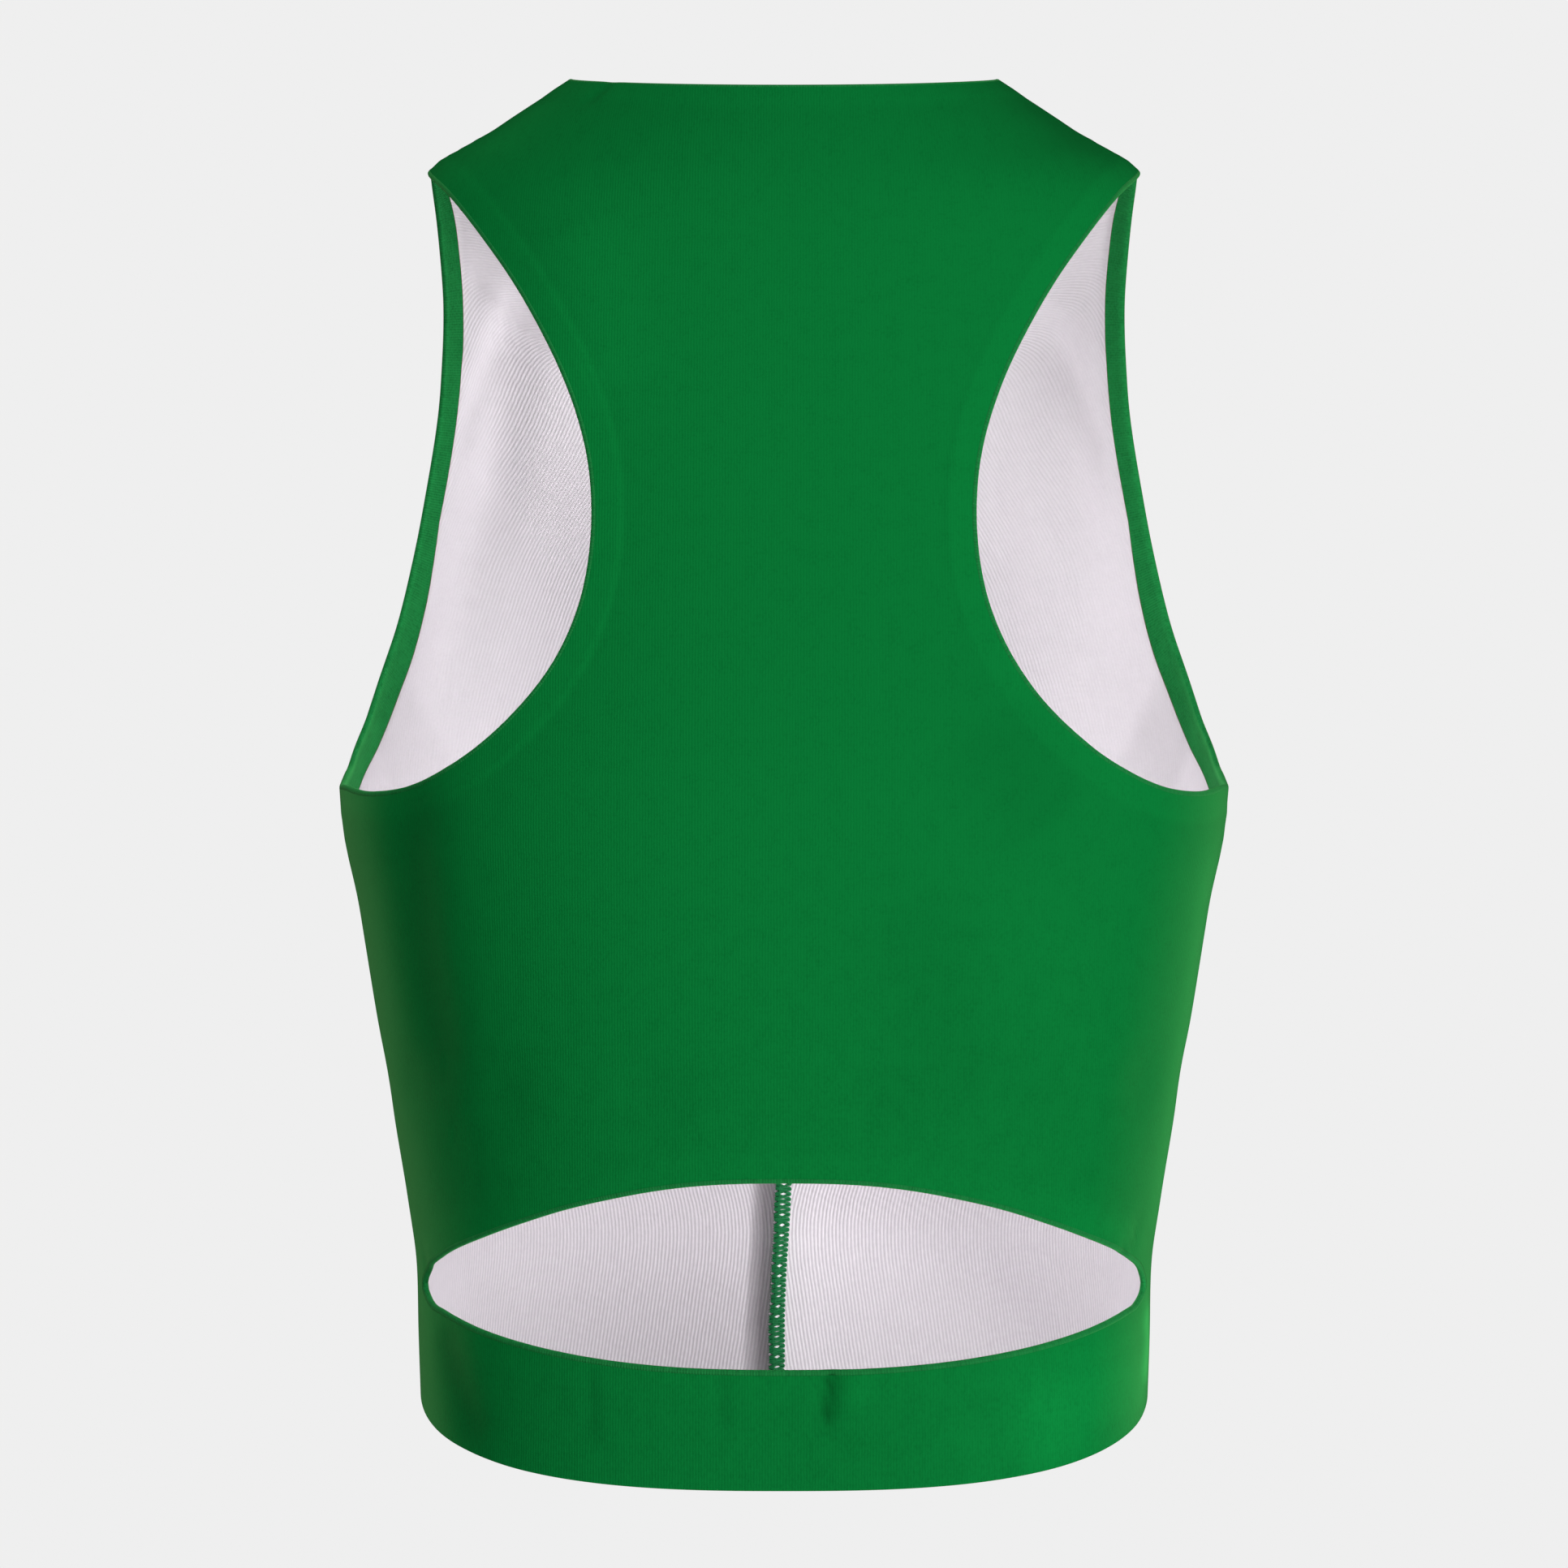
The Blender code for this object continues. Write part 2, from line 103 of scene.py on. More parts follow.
FLAT_WIDTH = 2.0 * MM  # for each degree of turn, while a panel's grid is evened


def even_slopes(rows):
    """For each row, the slope of a curve through all rows that never swings past one of them."""
    steps = np.diff(rows, axis=0)
    before, after = steps[:-1], steps[1:]
    agree = before * after > 0
    total = np.where(agree, before + after, 1.0)
    inner = np.where(agree, 2 * before * after / total, 0.0)
    return np.vstack([steps[:1], inner, steps[-1:]])


RING_SIZES = np.array(RINGS) * ([MM] * 6 + [1.0])
RING_SLOPES = even_slopes(RING_SIZES)


def form(turn, level):
    """Points of the form at turns in degrees and levels."""
    turn, level = np.broadcast_arrays(np.asarray(turn, float), np.asarray(level, float))
    low = np.clip(level.astype(int), 0, len(RINGS) - 2)
    s = (level - low)[..., None]
    rise = s * s * (3 - 2 * s)
    sizes = RING_SIZES[low] * (1 - rise) + RING_SIZES[low + 1] * rise
    sizes += RING_SLOPES[low] * (s * (1 - s) ** 2) - RING_SLOPES[low + 1] * (s * s * (1 - s))
    side_z, back_z, front_z, half_width, back_depth, front_depth, squareness = np.moveaxis(sizes, -1, 0)
    sine, cosine = np.sin(np.radians(turn)), np.cos(np.radians(turn))
    across = np.sign(sine) * np.abs(sine) ** (2 / squareness)
    out = np.abs(cosine) ** (2 / squareness)
    rise_back, rise_front = (back_z - side_z) * out**BACK_EASE, (front_z - side_z) * out**FRONT_EASE
    z = side_z + np.where(cosine > 0, rise_back, rise_front)
    return np.stack([half_width * across, np.where(cosine > 0, back_depth, -front_depth) * out, z], -1)


def unit(vectors):
    """The same directions with a length of 1."""
    return vectors / np.linalg.norm(vectors, axis=-1, keepdims=True)


def slopes_at(turn, level):
    """How the form's point moves with a degree of turn, and with one level."""
    by_turn = (form(turn + 0.2, level) - form(turn - 0.2, level)) / 0.4
    by_level = (form(turn, level + 0.02) - form(turn, level - 0.02)) / 0.04
    return by_turn, by_level


def outward(turn, level):
    """The direction square to the form, away from the wearer."""
    by_turn, by_level = slopes_at(turn, level)
    return unit(np.cross(by_level, by_turn))


def middle_slope(three, spans):
    """The slope at the middle one of three places, the nearer neighbour counting for more."""
    before, here, after = three
    first, second = spans
    return ((here - before) / first * second + (after - here) / second * first) / (first + second)


class Edge:
    """A closed smooth edge through places on the form, read by its share of the way round."""

    def __init__(self, places, round_turn=0):
        places = np.array(places, float)
        lap = np.array([round_turn, 0.0])
        places = np.array([places[-1] - lap, *places, places[0] + lap, places[1] + lap])
        spans = np.linalg.norm(np.diff(form(*places.T), axis=0), axis=1)
        dense = []
        for i in range(1, len(places) - 2):
            leave = middle_slope(places[i - 1 : i + 2], spans[i - 1 : i + 1])
            arrive = middle_slope(places[i : i + 3], spans[i : i + 2])
            for s in np.arange(CURVE_STEPS) / CURVE_STEPS:
                rise = s * s * (3 - 2 * s)
                bend = leave * (s * (1 - s) ** 2) - arrive * (s * s * (1 - s))
                dense.append(places[i] * (1 - rise) + places[i + 1] * rise + bend * spans[i])
        dense.append(dense[0] + lap)
        self.places = np.array(dense)
        steps = np.linalg.norm(np.diff(form(*self.places.T), axis=0), axis=1)
        self.length = steps.sum()
        self.shares = np.concatenate([[0.0], np.cumsum(steps)]) / self.length

    def share_of(self, number):
        """How far round the edge its place of this number lies."""
        return float(self.shares[number * CURVE_STEPS])

    def at(self, share):
        """The turn and level at shares of the way round."""
        share = np.asarray(share, float) % 1.0
        return [np.interp(share, self.shares, self.places[:, axis]) for axis in (0, 1)]

    def across(self, share, width):
        """The places this far from the edge over the cloth, square to the edge and away from the hole."""
        share, width = np.broadcast_arrays(np.asarray(share, float), width)
        along = unit(form(*self.at(share + 0.003)) - form(*self.at(share - 0.003)))
        turn, level = self.at(share)
        for _ in range(INSET_STEPS):
            by_turn, by_level = slopes_at(turn, level)
            square = np.cross(along, unit(np.cross(by_level, by_turn)))
            square = unit(square) * (width / INSET_STEPS)[..., None]
            turn_turn, turn_level = (by_turn**2).sum(-1), (by_turn * by_level).sum(-1)
            level_level = (by_level**2).sum(-1)
            on_turn, on_level = (by_turn * square).sum(-1), (by_level * square).sum(-1)
            size = turn_turn * level_level - turn_level**2
            turn = turn + (on_turn * level_level - on_level * turn_level) / size
            level = level + (on_level * turn_turn - on_turn * turn_level) / size
        return turn, level

    def inset(self, width):
        """The same edge drawn this far in on the cloth, read by the same shares."""
        moved = Edge.__new__(Edge)
        moved.length, moved.shares = self.length, self.shares
        turn, level = self.across(self.shares[:-1], width)
        places = np.stack([turn, level], -1)
        moved.places = np.vstack([places, places[:1] + self.places[-1] - self.places[0]])
        return moved


armhole = Edge([(SIDE - behind, level) for behind, level in ARMHOLE])
cut_out = Edge([*CUT_OUT, *[(-turn, level) for turn, level in CUT_OUT[-2:0:-1]]])
neck = Edge([(-turn, NECK) for turn in range(0, 360, 15)], round_turn=-360)
armhole_in, cut_out_in = armhole.inset(HEM_START), cut_out.inset(HEM_START)
neck_by_turn = neck.inset(HEM_START).places[::-1]


def below_neck(turn):
    """The level at which a panel ends under the neckline."""
    return float(np.interp(abs(turn), -neck_by_turn[::-1, 0], neck_by_turn[::-1, 1]))


def even_block(points, passes):
    """Spread the inner points of one block of a flat grid, its edges kept."""
    for _ in range(passes):
        by_column = (points[1:-1, 2:] - points[1:-1, :-2]) / 2
        by_row = (points[2:, 1:-1] - points[:-2, 1:-1]) / 2
        twist = points[2:, 2:] - points[2:, :-2] - points[:-2, 2:] + points[:-2, :-2]
        along = np.sum(by_row**2, axis=2, keepdims=True)
        up = np.sum(by_column**2, axis=2, keepdims=True)
        skew = np.sum(by_column * by_row, axis=2, keepdims=True)
        beside = points[1:-1, 2:] + points[1:-1, :-2]
        stacked = points[2:, 1:-1] + points[:-2, 1:-1]
        evened_out = (along * beside + up * stacked - skew * twist / 2) / (2 * (along + up))
        points[1:-1, 1:-1] += EVENING_SHARE * (evened_out - points[1:-1, 1:-1])


def finer(points):
    """The grid with a point added between every two."""
    rows, columns = points.shape[:2]
    made = np.zeros((2 * rows - 1, 2 * columns - 1, 2))
    made[::2, ::2] = points
    made[1::2, ::2] = (points[1:] + points[:-1]) / 2
    made[:, 1::2] = (made[:, :-2:2] + made[:, 2::2]) / 2
    return made


def flat_places(columns, rows, place, heights, blocks):
    """The turn and level of every point of a panel's fine grid, evened in blocks of its flat pattern."""
    levels = np.arange(len(RINGS))
    flat = None
    for scale, passes in zip(FINENESS, EVENING_PASSES):
        across = [number / scale for number in range(columns * scale + 1)]
        up = [number / scale for number in range(rows * scale + 1)]
        asked = np.array([[place(column, row) for column in across] for row in up])
        asked[..., 0] *= FLAT_WIDTH
        asked[..., 1] = np.interp(asked[..., 1], levels, heights)
        kept = asked if flat is None else finer(flat)
        for first, last in blocks:
            block = kept[first * scale : last * scale + 1]
            wanted = asked[first * scale : last * scale + 1]
            block[[0, -1]] = wanted[[0, -1]]
            block[:, [0, -1]] = wanted[:, [0, -1]]
            even_block(block, passes)
            asked[first * scale : last * scale + 1] = block
        flat = asked
    return flat[..., 0] / FLAT_WIDTH, np.interp(flat[..., 1], heights, levels)


def nearest(points, line):
    """How far each point is from a line of points, and the number of the nearest one."""
    square = (points**2).sum(-1)[:, None] + (line**2).sum(-1)[None] - 2 * points @ line.T
    number = square.argmin(1)
    return np.sqrt(np.maximum(square[np.arange(len(points)), number], 0)), number


def soft_step(value):
    """0 up to 0, 1 from 1 on, and a smooth rise between."""
    value = np.clip(value, 0, 1)
    return value * value * (3 - 2 * value)


HEM_LINES = [(armhole, 1.0), (cut_out, 0.4), (neck, 0.7)]  # an edge, and how much its hem shows through
HEM_LINE_POINTS = 500
HEM_FADE = 3 * MM  # over which the step down from a hem to the open panel is smoothed
HEM_LIFT = 0.35 * MM  # that a hem raises the cloth over it
HEM_LIGHTENING = 0.07
FOLD_POINTS = 30
FOLD_FADE = 2.2  # how soon a fold reaches its full height from its ends
FADING_SHARE = 0.7  # the part of a fold that fades to nothing at its ends
FOLDS = (
    # what it is, its places from one end to the other, half width and height in mm, and its tone: the
    # share by which the green face is lightened or darkened there, in the material itself: painted shade
    # in hollows and creases, and painted light on patches the lamps catch
    ("pucker under the cut-out", ((-4.3, 1.42), (-3.3, 0.72)), 2.2, -1.1, -0.42),
    ("ridge beside that pucker", ((-7.5, 1.36), (-6.1, 0.90)), 4.0, 0.6, 0.08),
    ("thin pucker of the band", ((23.6, 1.38), (22.7, 0.44)), 2.0, -0.4, -0.16),
    ("faint pucker of the band", ((5.6, 1.40), (4.9, 0.71)), 2.0, -0.4, -0.12),
    ("dip across the band's left end", ((60.0, 1.60), (54.5, 0.90), (45.0, 0.00)), 9.0, -0.9, -0.22),
    # Its lift is real relief; its tone is painted light, where the lamps catch the band's right end.
    ("band drawn tight over the hip", ((-26.0, 0.40), (-50.0, 0.80), (-72.0, 0.70)), 22.0, 0.6, 0.36),
    ("its end in the light", ((-71.5, 1.65), (-73.0, 1.00), (-70.0, 0.35)), 7.0, 0.3, 0.75),
    ("pinch at the cut-out's right end", ((-63.0, 2.80), (-60.0, 2.64), (-56.0, 2.46)), 2.4, -0.7, -0.14),
    ("ridge over that pinch", ((-38.0, 3.20), (-52.0, 2.88), (-64.0, 2.62)), 7.0, 0.8, 0.10),
    ("right flank in the light", ((-69.0, 5.90), (-73.0, 4.20), (-75.0, 2.20)), 14.0, 0.3, 0.20),
    ("pinch at the cut-out's left end", ((67.5, 2.40), (69.0, 1.80)), 3.0, -0.6, -0.05),
    ("dent beside the neckline", ((49.6, 10.96), (49.6, 10.55)), 3.0, -0.7, -0.10),
    ("hollow under the right armhole", ((-19.5, 6.35), (-25.5, 6.05), (-31.0, 5.70)), 22.0, -1.4, -0.11),
    ("hollow below it, down the back", ((-9.8, 5.33), (-16.0, 4.42), (-22.6, 3.71)), 20.0, -1.2, -0.08),
    (
        "cloth lifting along the right armhole",
        ((-38.0, 6.16), (-33.1, 6.32), (-25.5, 6.50), (-22.3, 6.75)),
        *(6.0, 0.9, 0.06),
    ),
    (
        "slack below the left armhole",
        ((46.0, 6.20), (50.0, 5.60), (52.0, 4.84), (50.0, 3.40)),
        *(14.0, -1.8, -0.26),
    ),
    ("left shoulder blade", ((30.0, 8.90), (23.5, 8.20), (21.0, 7.60)), 18.0, 1.0, 0.10),
    ("right shoulder slope", ((-74.0, 10.70), (-66.0, 9.40)), 16.0, -0.3, -0.08),
    ("left shoulder slope", ((70.0, 10.70), (62.0, 9.40)), 16.0, -0.2, 0.16),
    ("shade in the left underarm", ((106.0, 6.10), (122.0, 6.40)), 30.0, 0.3, -0.11),
    ("shade in the right underarm", ((-106.0, 6.10), (-122.0, 6.40)), 30.0, 0.3, -0.19),
    ("left shoulder line by its tip", ((88.0, 9.12), (88.0, 9.68)), 8.0, -1.5, 0.0),
    ("right shoulder line by its tip", ((-88.0, 9.12), (-88.0, 9.68)), 8.0, -1.5, 0.0),
    (
        "drape inside the left armhole",
        ((128.3, 9.35), (130.5, 8.21), (132.3, 7.64), (127.5, 6.81), (121.0, 6.40)),
        *(12.0, 4.2, 0.0),
    ),
    ("ridge in front of that drape", ((122.2, 9.30), (121.0, 8.30)), 7.0, -1.6, -0.06),
    ("crease behind it", ((128.5, 8.75), (126.0, 8.20), (124.0, 7.70)), 5.0, 0.9, -0.12),
    ("crease across that drape", ((127.6, 8.16), (123.8, 8.10)), 2.0, -0.5, -0.04),
    (
        "drape inside the right armhole",
        ((-131.0, 9.35), (-130.9, 8.21), (-133.1, 7.65), (-131.5, 6.90)),
        *(12.0, 4.2, 0.0),
    ),
    ("ridge in front of that drape", ((-124.1, 9.25), (-123.0, 8.40)), 7.0, -1.6, -0.04),
    ("crease behind it", ((-131.5, 8.70), (-128.0, 8.20), (-125.0, 7.60)), 5.0, 0.9, -0.09),
    ("slack down the left side", ((106.0, 5.30), (109.0, 4.20), (106.0, 2.80)), 13.0, -1.0, -0.05),
    ("slack down the right side", ((-106.0, 5.40), (-104.0, 3.90), (-107.0, 2.60)), 13.0, -1.0, -0.05),
    ("pull under the bust", ((150.0, 4.30), (165.0, 3.90), (-172.0, 3.95)), 12.0, -0.9, -0.04),
)


def folds_of(points):
    """How far the cloth stands off the form at each point, and its tone: its folds, dips and puckers, with
    their painted shade and painted light.
    """
    lift, tone = np.zeros(len(points)), np.ones(len(points))
    for _, places, half_width, height, painted_light in FOLDS:
        steps = np.linspace(0, len(places) - 1, FOLD_POINTS)
        turn, level = [np.interp(steps, range(len(places)), values) for values in zip(*places)]
        far, number = nearest(points, form(turn, level))
        across = np.exp(-((far / (half_width * MM)) ** 2))
        from_end = 1 - np.abs(number / ((FOLD_POINTS - 1) / 2) - 1)
        share = across * (1 - FADING_SHARE + FADING_SHARE * soft_step(FOLD_FADE * from_end))
        lift += height * MM * share
        tone *= 1 + painted_light * share
    return lift, tone


def hem_share(points):
    """How much a hem shows through at each point: 0 on the open panel, and up to 1 over an armhole's hem."""
    doubled = np.zeros(len(points))
    for edge, shows in HEM_LINES:
        for side in (1, -1):
            turn, level = edge.at(np.linspace(0, 1, HEM_LINE_POINTS))
            far, _ = nearest(points, form(side * turn, level))
            doubled = np.maximum(doubled, shows * (1 - soft_step((far - HEM_WIDTH) / HEM_FADE)))
    return doubled


def cloth_point(turn, level, depth):
    """Points this far inside the outer face of the cloth."""
    on_form = form(turn, level)
    flat = on_form.reshape(-1, 3)
    lift = folds_of(flat)[0] + HEM_LIFT * hem_share(flat)
    return on_form + outward(turn, level) * (lift.reshape(np.shape(depth)) - depth)[..., None]


def tone_of(turn, level):
    """How light the green face is made: each fold's own painted shade in hollows or painted light where lamps
    catch it, and a hem under it lightens it.
    """
    flat = form(turn, level).reshape(-1, 3)
    return folds_of(flat)[1] * (1 + HEM_LIGHTENING * hem_share(flat))


# Painted sheen for the rim lamps' light grazing the fibres: it fades up the yoke and on the right side, where
# those lamps don't reach.
SHEEN_LOST_UP, SHEEN_LEVEL, SHEEN_LEVELS = 0.95, 6.2, 2.0  # how much, from which level, and over how many
SHEEN_LOST_RIGHT, SHEEN_TURN = 0.45, 40.0  # how much, and by how many degrees to the right of the middle
CLOSED_SHARE, CLOSED_LEVEL, CLOSED_LEVELS = 0.85, 3.6, 2.4


def nap_of(turn, level):
    """How much painted sheen a face gets at grazing views, standing in for the rim lamps' light on its
    fibres: most on the left side, least on the yoke.
    """
    lost_up = SHEEN_LOST_UP * soft_step((level - SHEEN_LEVEL) / SHEEN_LEVELS)
    return (1 - lost_up) * (1 - SHEEN_LOST_RIGHT * soft_step(-turn / SHEEN_TURN))


def openness_of(level):
    """How far the stitches are stretched open: fully at the waist, little over the chest."""
    return 1 - CLOSED_SHARE * soft_step((level - CLOSED_LEVEL) / CLOSED_LEVELS)


ARC_ROWS = 10  # rows of the table for each level


def arc_table():
    """How far round it is from the centre back to each degree, at each tenth of a level."""
    turns = np.arange(FRONT + 1)
    levels = np.arange((len(RINGS) - 1) * ARC_ROWS + 1) / ARC_ROWS
    points = form(turns[None], levels[:, None])
    steps = np.linalg.norm(np.diff(points, axis=1), axis=2)
    return np.concatenate([np.zeros((len(levels), 1)), np.cumsum(steps, axis=1)], axis=1)


ARCS = arc_table()


def cloth_map(turn, level):
    """Where a place lies in the flat cloth: metres round from the centre back, and metres up."""
    row = np.clip(level * ARC_ROWS, 0, len(ARCS) - 1.001)
    column = np.clip(np.abs(turn), 0, FRONT - 0.001)
    r, c = row.astype(int), column.astype(int)
    fr, fc = row - r, column - c
    near = ARCS[r, c] * (1 - fc) + ARCS[r, c + 1] * fc
    above = ARCS[r + 1, c] * (1 - fc) + ARCS[r + 1, c + 1] * fc
    up = np.interp(level, range(len(RINGS)), RING_SIZES[:, 0])
    return np.sign(turn) * (near * (1 - fr) + above * fr), up


def flat_grid(columns, rows):
    """A flat grid whose points lie at their own column and row."""
    bm = bmesh.new()
    bmesh.ops.create_grid(bm, x_segments=columns, y_segments=rows, size=1.0)
    for vertex in bm.verts:
        vertex.co.x = round((vertex.co.x + 1) * columns / 2)
        vertex.co.y = round((vertex.co.y + 1) * rows / 2)
    return bm


def mesh_from(bm, name):
    """A mesh of what the bmesh holds. The bmesh is freed."""
    mesh = bpy.data.meshes.new(name)
    bm.to_mesh(mesh)
    bm.free()
    return mesh


def vertex_numbers(mesh):
    """The column, row and face that each vertex of a fresh grid stands for."""
    spots = np.zeros(len(mesh.vertices) * 3, np.float32)
    mesh.vertices.foreach_get("co", spots)
    return np.rint(spots.reshape(-1, 3)).astype(int).T


SHARP_ANGLE = math.radians(50)


def finish_cloth(mesh, points, across, up, **values):
    """Put the vertices of a piece in place and write its cloth map and the values its material reads."""
    mesh.vertices.foreach_set("co", points.astype(np.float32).ravel())
    corners = np.zeros(len(mesh.loops), np.int32)
    mesh.loops.foreach_get("vertex_index", corners)
    spots = np.stack([across, up], -1)[corners]
    mesh.uv_layers.new(name="cloth")
    mesh.uv_layers["cloth"].data.foreach_set("uv", spots.astype(np.float32).ravel())
    for title, numbers in values.items():
        made = mesh.attributes.new(title, "FLOAT", "POINT")
        made.data.foreach_set("value", numbers.astype(np.float32))
    mesh.shade_smooth()
    mesh.set_sharp_from_angle(angle=SHARP_ANGLE)
    mesh.update()


def thicken(bm):
    """Copy a flat grid one step up and close its sides, for a face to be laid at each depth."""
    copied = bmesh.ops.extrude_face_region(bm, geom=bm.faces[:])["geom"]
    raised = [item for item in copied if isinstance(item, bmesh.types.BMVert)]
    bmesh.ops.translate(bm, vec=(0, 0, 1), verts=raised)


SAME_TURN = 0.01  # degrees within which a point lies on a seam
SEAM_DIP_TOP, SEAM_DIP_FADE = 5.95, 0.3  # the level where a seam's dip is gone, and the levels it fades over


def panel(name, columns, rows, place, heights, blocks, gone, shift, finishes):
    """A panel cut flat and laid on the form: its outer face, its inner face and the walls between."""
    turn, level = flat_places(columns, rows, place, heights, blocks)
    scale = FINENESS[-1]
    bm = flat_grid(columns * scale, rows * scale)
    removed = [cell for cell in bm.faces if gone(*(cell.calc_center_median().xy / scale))]
    bmesh.ops.delete(bm, geom=removed, context="FACES")
    thicken(bm)
    bm.normal_update()
    for face in bm.faces:
        height = face.calc_center_median().z  # 0 outside, 1 inside, and halfway on a cut edge
        face.material_index = 0 if height < 0.25 else 1 if height > 0.75 else 2
    mesh = mesh_from(bm, name)
    column, row, face = vertex_numbers(mesh)
    turn, level = turn[row, column], level[row, column]
    seam = (np.abs(np.abs(turn) - SIDE) < SAME_TURN) | (np.abs(turn) > FRONT - SAME_TURN)
    drawn_in = SEAM_DIP * seam * soft_step((SEAM_DIP_TOP - level) / SEAM_DIP_FADE)
    points = cloth_point(turn, level, CLOTH * face + drawn_in) + np.array(shift)
    across, up = cloth_map(turn, level)
    values = {"tone": tone_of(turn, level), "nap": nap_of(turn, level), "open": openness_of(level)}
    finish_cloth(mesh, points, across, up, **values)
    return finish_object(mesh, name, finishes)


def finish_object(mesh, name, finishes):
    """The piece of this mesh, its faces all turned outward and its materials on it."""
    bm = bmesh.new()
    bm.from_mesh(mesh)
    bmesh.ops.recalc_face_normals(bm, faces=bm.faces[:])
    if bm.calc_volume(signed=True) < 0:
        bmesh.ops.reverse_faces(bm, faces=bm.faces[:])
    bm.to_mesh(mesh)
    bm.free()
    for finish in finishes:
        mesh.materials.append(finish)
    piece = bpy.data.objects.new(name, mesh)
    bpy.context.scene.collection.objects.link(piece)
    return piece


def new_material(name):
    """A material with its Principled surface, ready for links."""
    made = bpy.data.materials.new(name)
    made.use_nodes = True
    return made, made.node_tree.nodes, made.node_tree.links, made.node_tree.nodes["Principled BSDF"]


def new_group(name, inputs, outputs):
    """A node group with named sockets, its own input and output nodes in place."""
    group = bpy.data.node_groups.new(name, "ShaderNodeTree")
    for title, kind, value in inputs:
        socket = group.interface.new_socket(title, in_out="INPUT", socket_type=kind)
        if value is not None:
            socket.default_value = value
    for title, kind in outputs:
        group.interface.new_socket(title, in_out="OUTPUT", socket_type=kind)
    return group, group.nodes.new("NodeGroupInput"), group.nodes.new("NodeGroupOutput")


def feed(tree, socket, value):
    """Link what feeds a socket to it, or set it to a plain value."""
    if isinstance(value, bpy.types.NodeSocket):
        tree.links.new(value, socket)
    else:
        socket.default_value = value


def maths(tree, operation, *values, clamp=False):
    """A Math node fed by sockets or plain numbers; its result socket."""
    node = tree.nodes.new("ShaderNodeMath")
    node.operation, node.use_clamp = operation, clamp
    for socket, value in zip(node.inputs, values):
        feed(tree, socket, value)
    return node.outputs[0]


def mixed(tree, amount, none, full):
    """A colour from one with none of the amount to another with all of it; its result socket."""
    node = tree.nodes.new("ShaderNodeMix")
    node.data_type = "RGBA"
    for number, value in ((0, amount), (6, none), (7, full)):
        feed(tree, node.inputs[number], value)
    return node.outputs[2]


def noise(tree, at, scale, detail, roughness=0.5):
    """How high a soft noise stands at a place; its result socket."""
    node = tree.nodes.new("ShaderNodeTexNoise")
    node.inputs["Scale"].default_value = scale
    node.inputs["Detail"].default_value = detail
    node.inputs["Roughness"].default_value = roughness
    tree.links.new(at, node.inputs["Vector"])
    return node.outputs["Fac"]


WANDER_SCALE, YARN_SCALE = 160.0, 900.0
WALE_SWAY = 0.0006  # metres that a wale wanders aside
CLOUD_SHARE = 0.45  # of the broad mottle, beside the fine one of the yarn


def knit_face_group():
    """A knitted face: stitches in upright wales, a mottle of the yarn, and the height they stand up."""
    group, given, result = new_group(
        "knit face",
        [
            ("Cloth", "NodeSocketVector", None),
            ("Yarn", "NodeSocketColor", (0.5, 0.5, 0.5, 1)),
            ("Shade", "NodeSocketColor", (0.3, 0.3, 0.3, 1)),
            ("Wales per metre", "NodeSocketFloat", 900.0),
            ("Courses per metre", "NodeSocketFloat", 1100.0),
            ("Stitch contrast", "NodeSocketFloat", 0.3),
            ("Mottle", "NodeSocketFloat", 0.3),
        ],
        [("Colour", "NodeSocketColor"), ("Height", "NodeSocketFloat")],
    )
    cloth, wales = given.outputs["Cloth"], given.outputs["Wales per metre"]
    split = group.nodes.new("ShaderNodeSeparateXYZ")
    group.links.new(cloth, split.inputs[0])
    wander = maths(group, "SUBTRACT", noise(group, cloth, WANDER_SCALE, 2.0), 0.5)
    across = maths(group, "ADD", split.outputs["X"], maths(group, "MULTIPLY", wander, WALE_SWAY))
    wale_number = maths(group, "MULTIPLY", across, wales)
    course_number = maths(group, "MULTIPLY", split.outputs["Y"], given.outputs["Courses per metre"])
    wave = maths(group, "COSINE", maths(group, "MULTIPLY", wale_number, math.tau))
    wale = maths(group, "MULTIPLY_ADD", wave, 0.5, 0.5)
    spot = group.nodes.new("ShaderNodeCombineXYZ")
    group.links.new(wale_number, spot.inputs["X"])
    group.links.new(course_number, spot.inputs["Y"])
    uneven = maths(group, "SUBTRACT", noise(group, spot.outputs[0], 1.0, 1.0), 0.3)
    course = maths(group, "MULTIPLY", uneven, 2.5, clamp=True)
    stitch = maths(group, "MULTIPLY", wale, maths(group, "MULTIPLY_ADD", course, 0.25, 0.75))
    dark = maths(group, "MULTIPLY", maths(group, "SUBTRACT", 1.0, stitch), given.outputs["Stitch contrast"])
    yarn = maths(group, "SUBTRACT", noise(group, cloth, YARN_SCALE, 3.0, 0.65), 0.5)
    grain = maths(group, "ADD", yarn, maths(group, "MULTIPLY", wander, CLOUD_SHARE))
    speckle = maths(group, "MULTIPLY", grain, given.outputs["Mottle"])
    amount = maths(group, "ADD", dark, speckle, clamp=True)
    colour = mixed(group, amount, given.outputs["Yarn"], given.outputs["Shade"])
    group.links.new(colour, result.inputs["Colour"])
    group.links.new(maths(group, "ADD", stitch, speckle), result.inputs["Height"])
    return group


KNIT_FACE = knit_face_group()


PAINTED_SHEEN_FROM = 0.30  # how grazing a look has to be for the painted sheen to show
FRAY_FROM, FRAY_TO = 0.955, 0.99  # shares of a hem's width between which its raw edge darkens
FRAY_COLOUR = (0.105, 0.085, 0.045, 1)


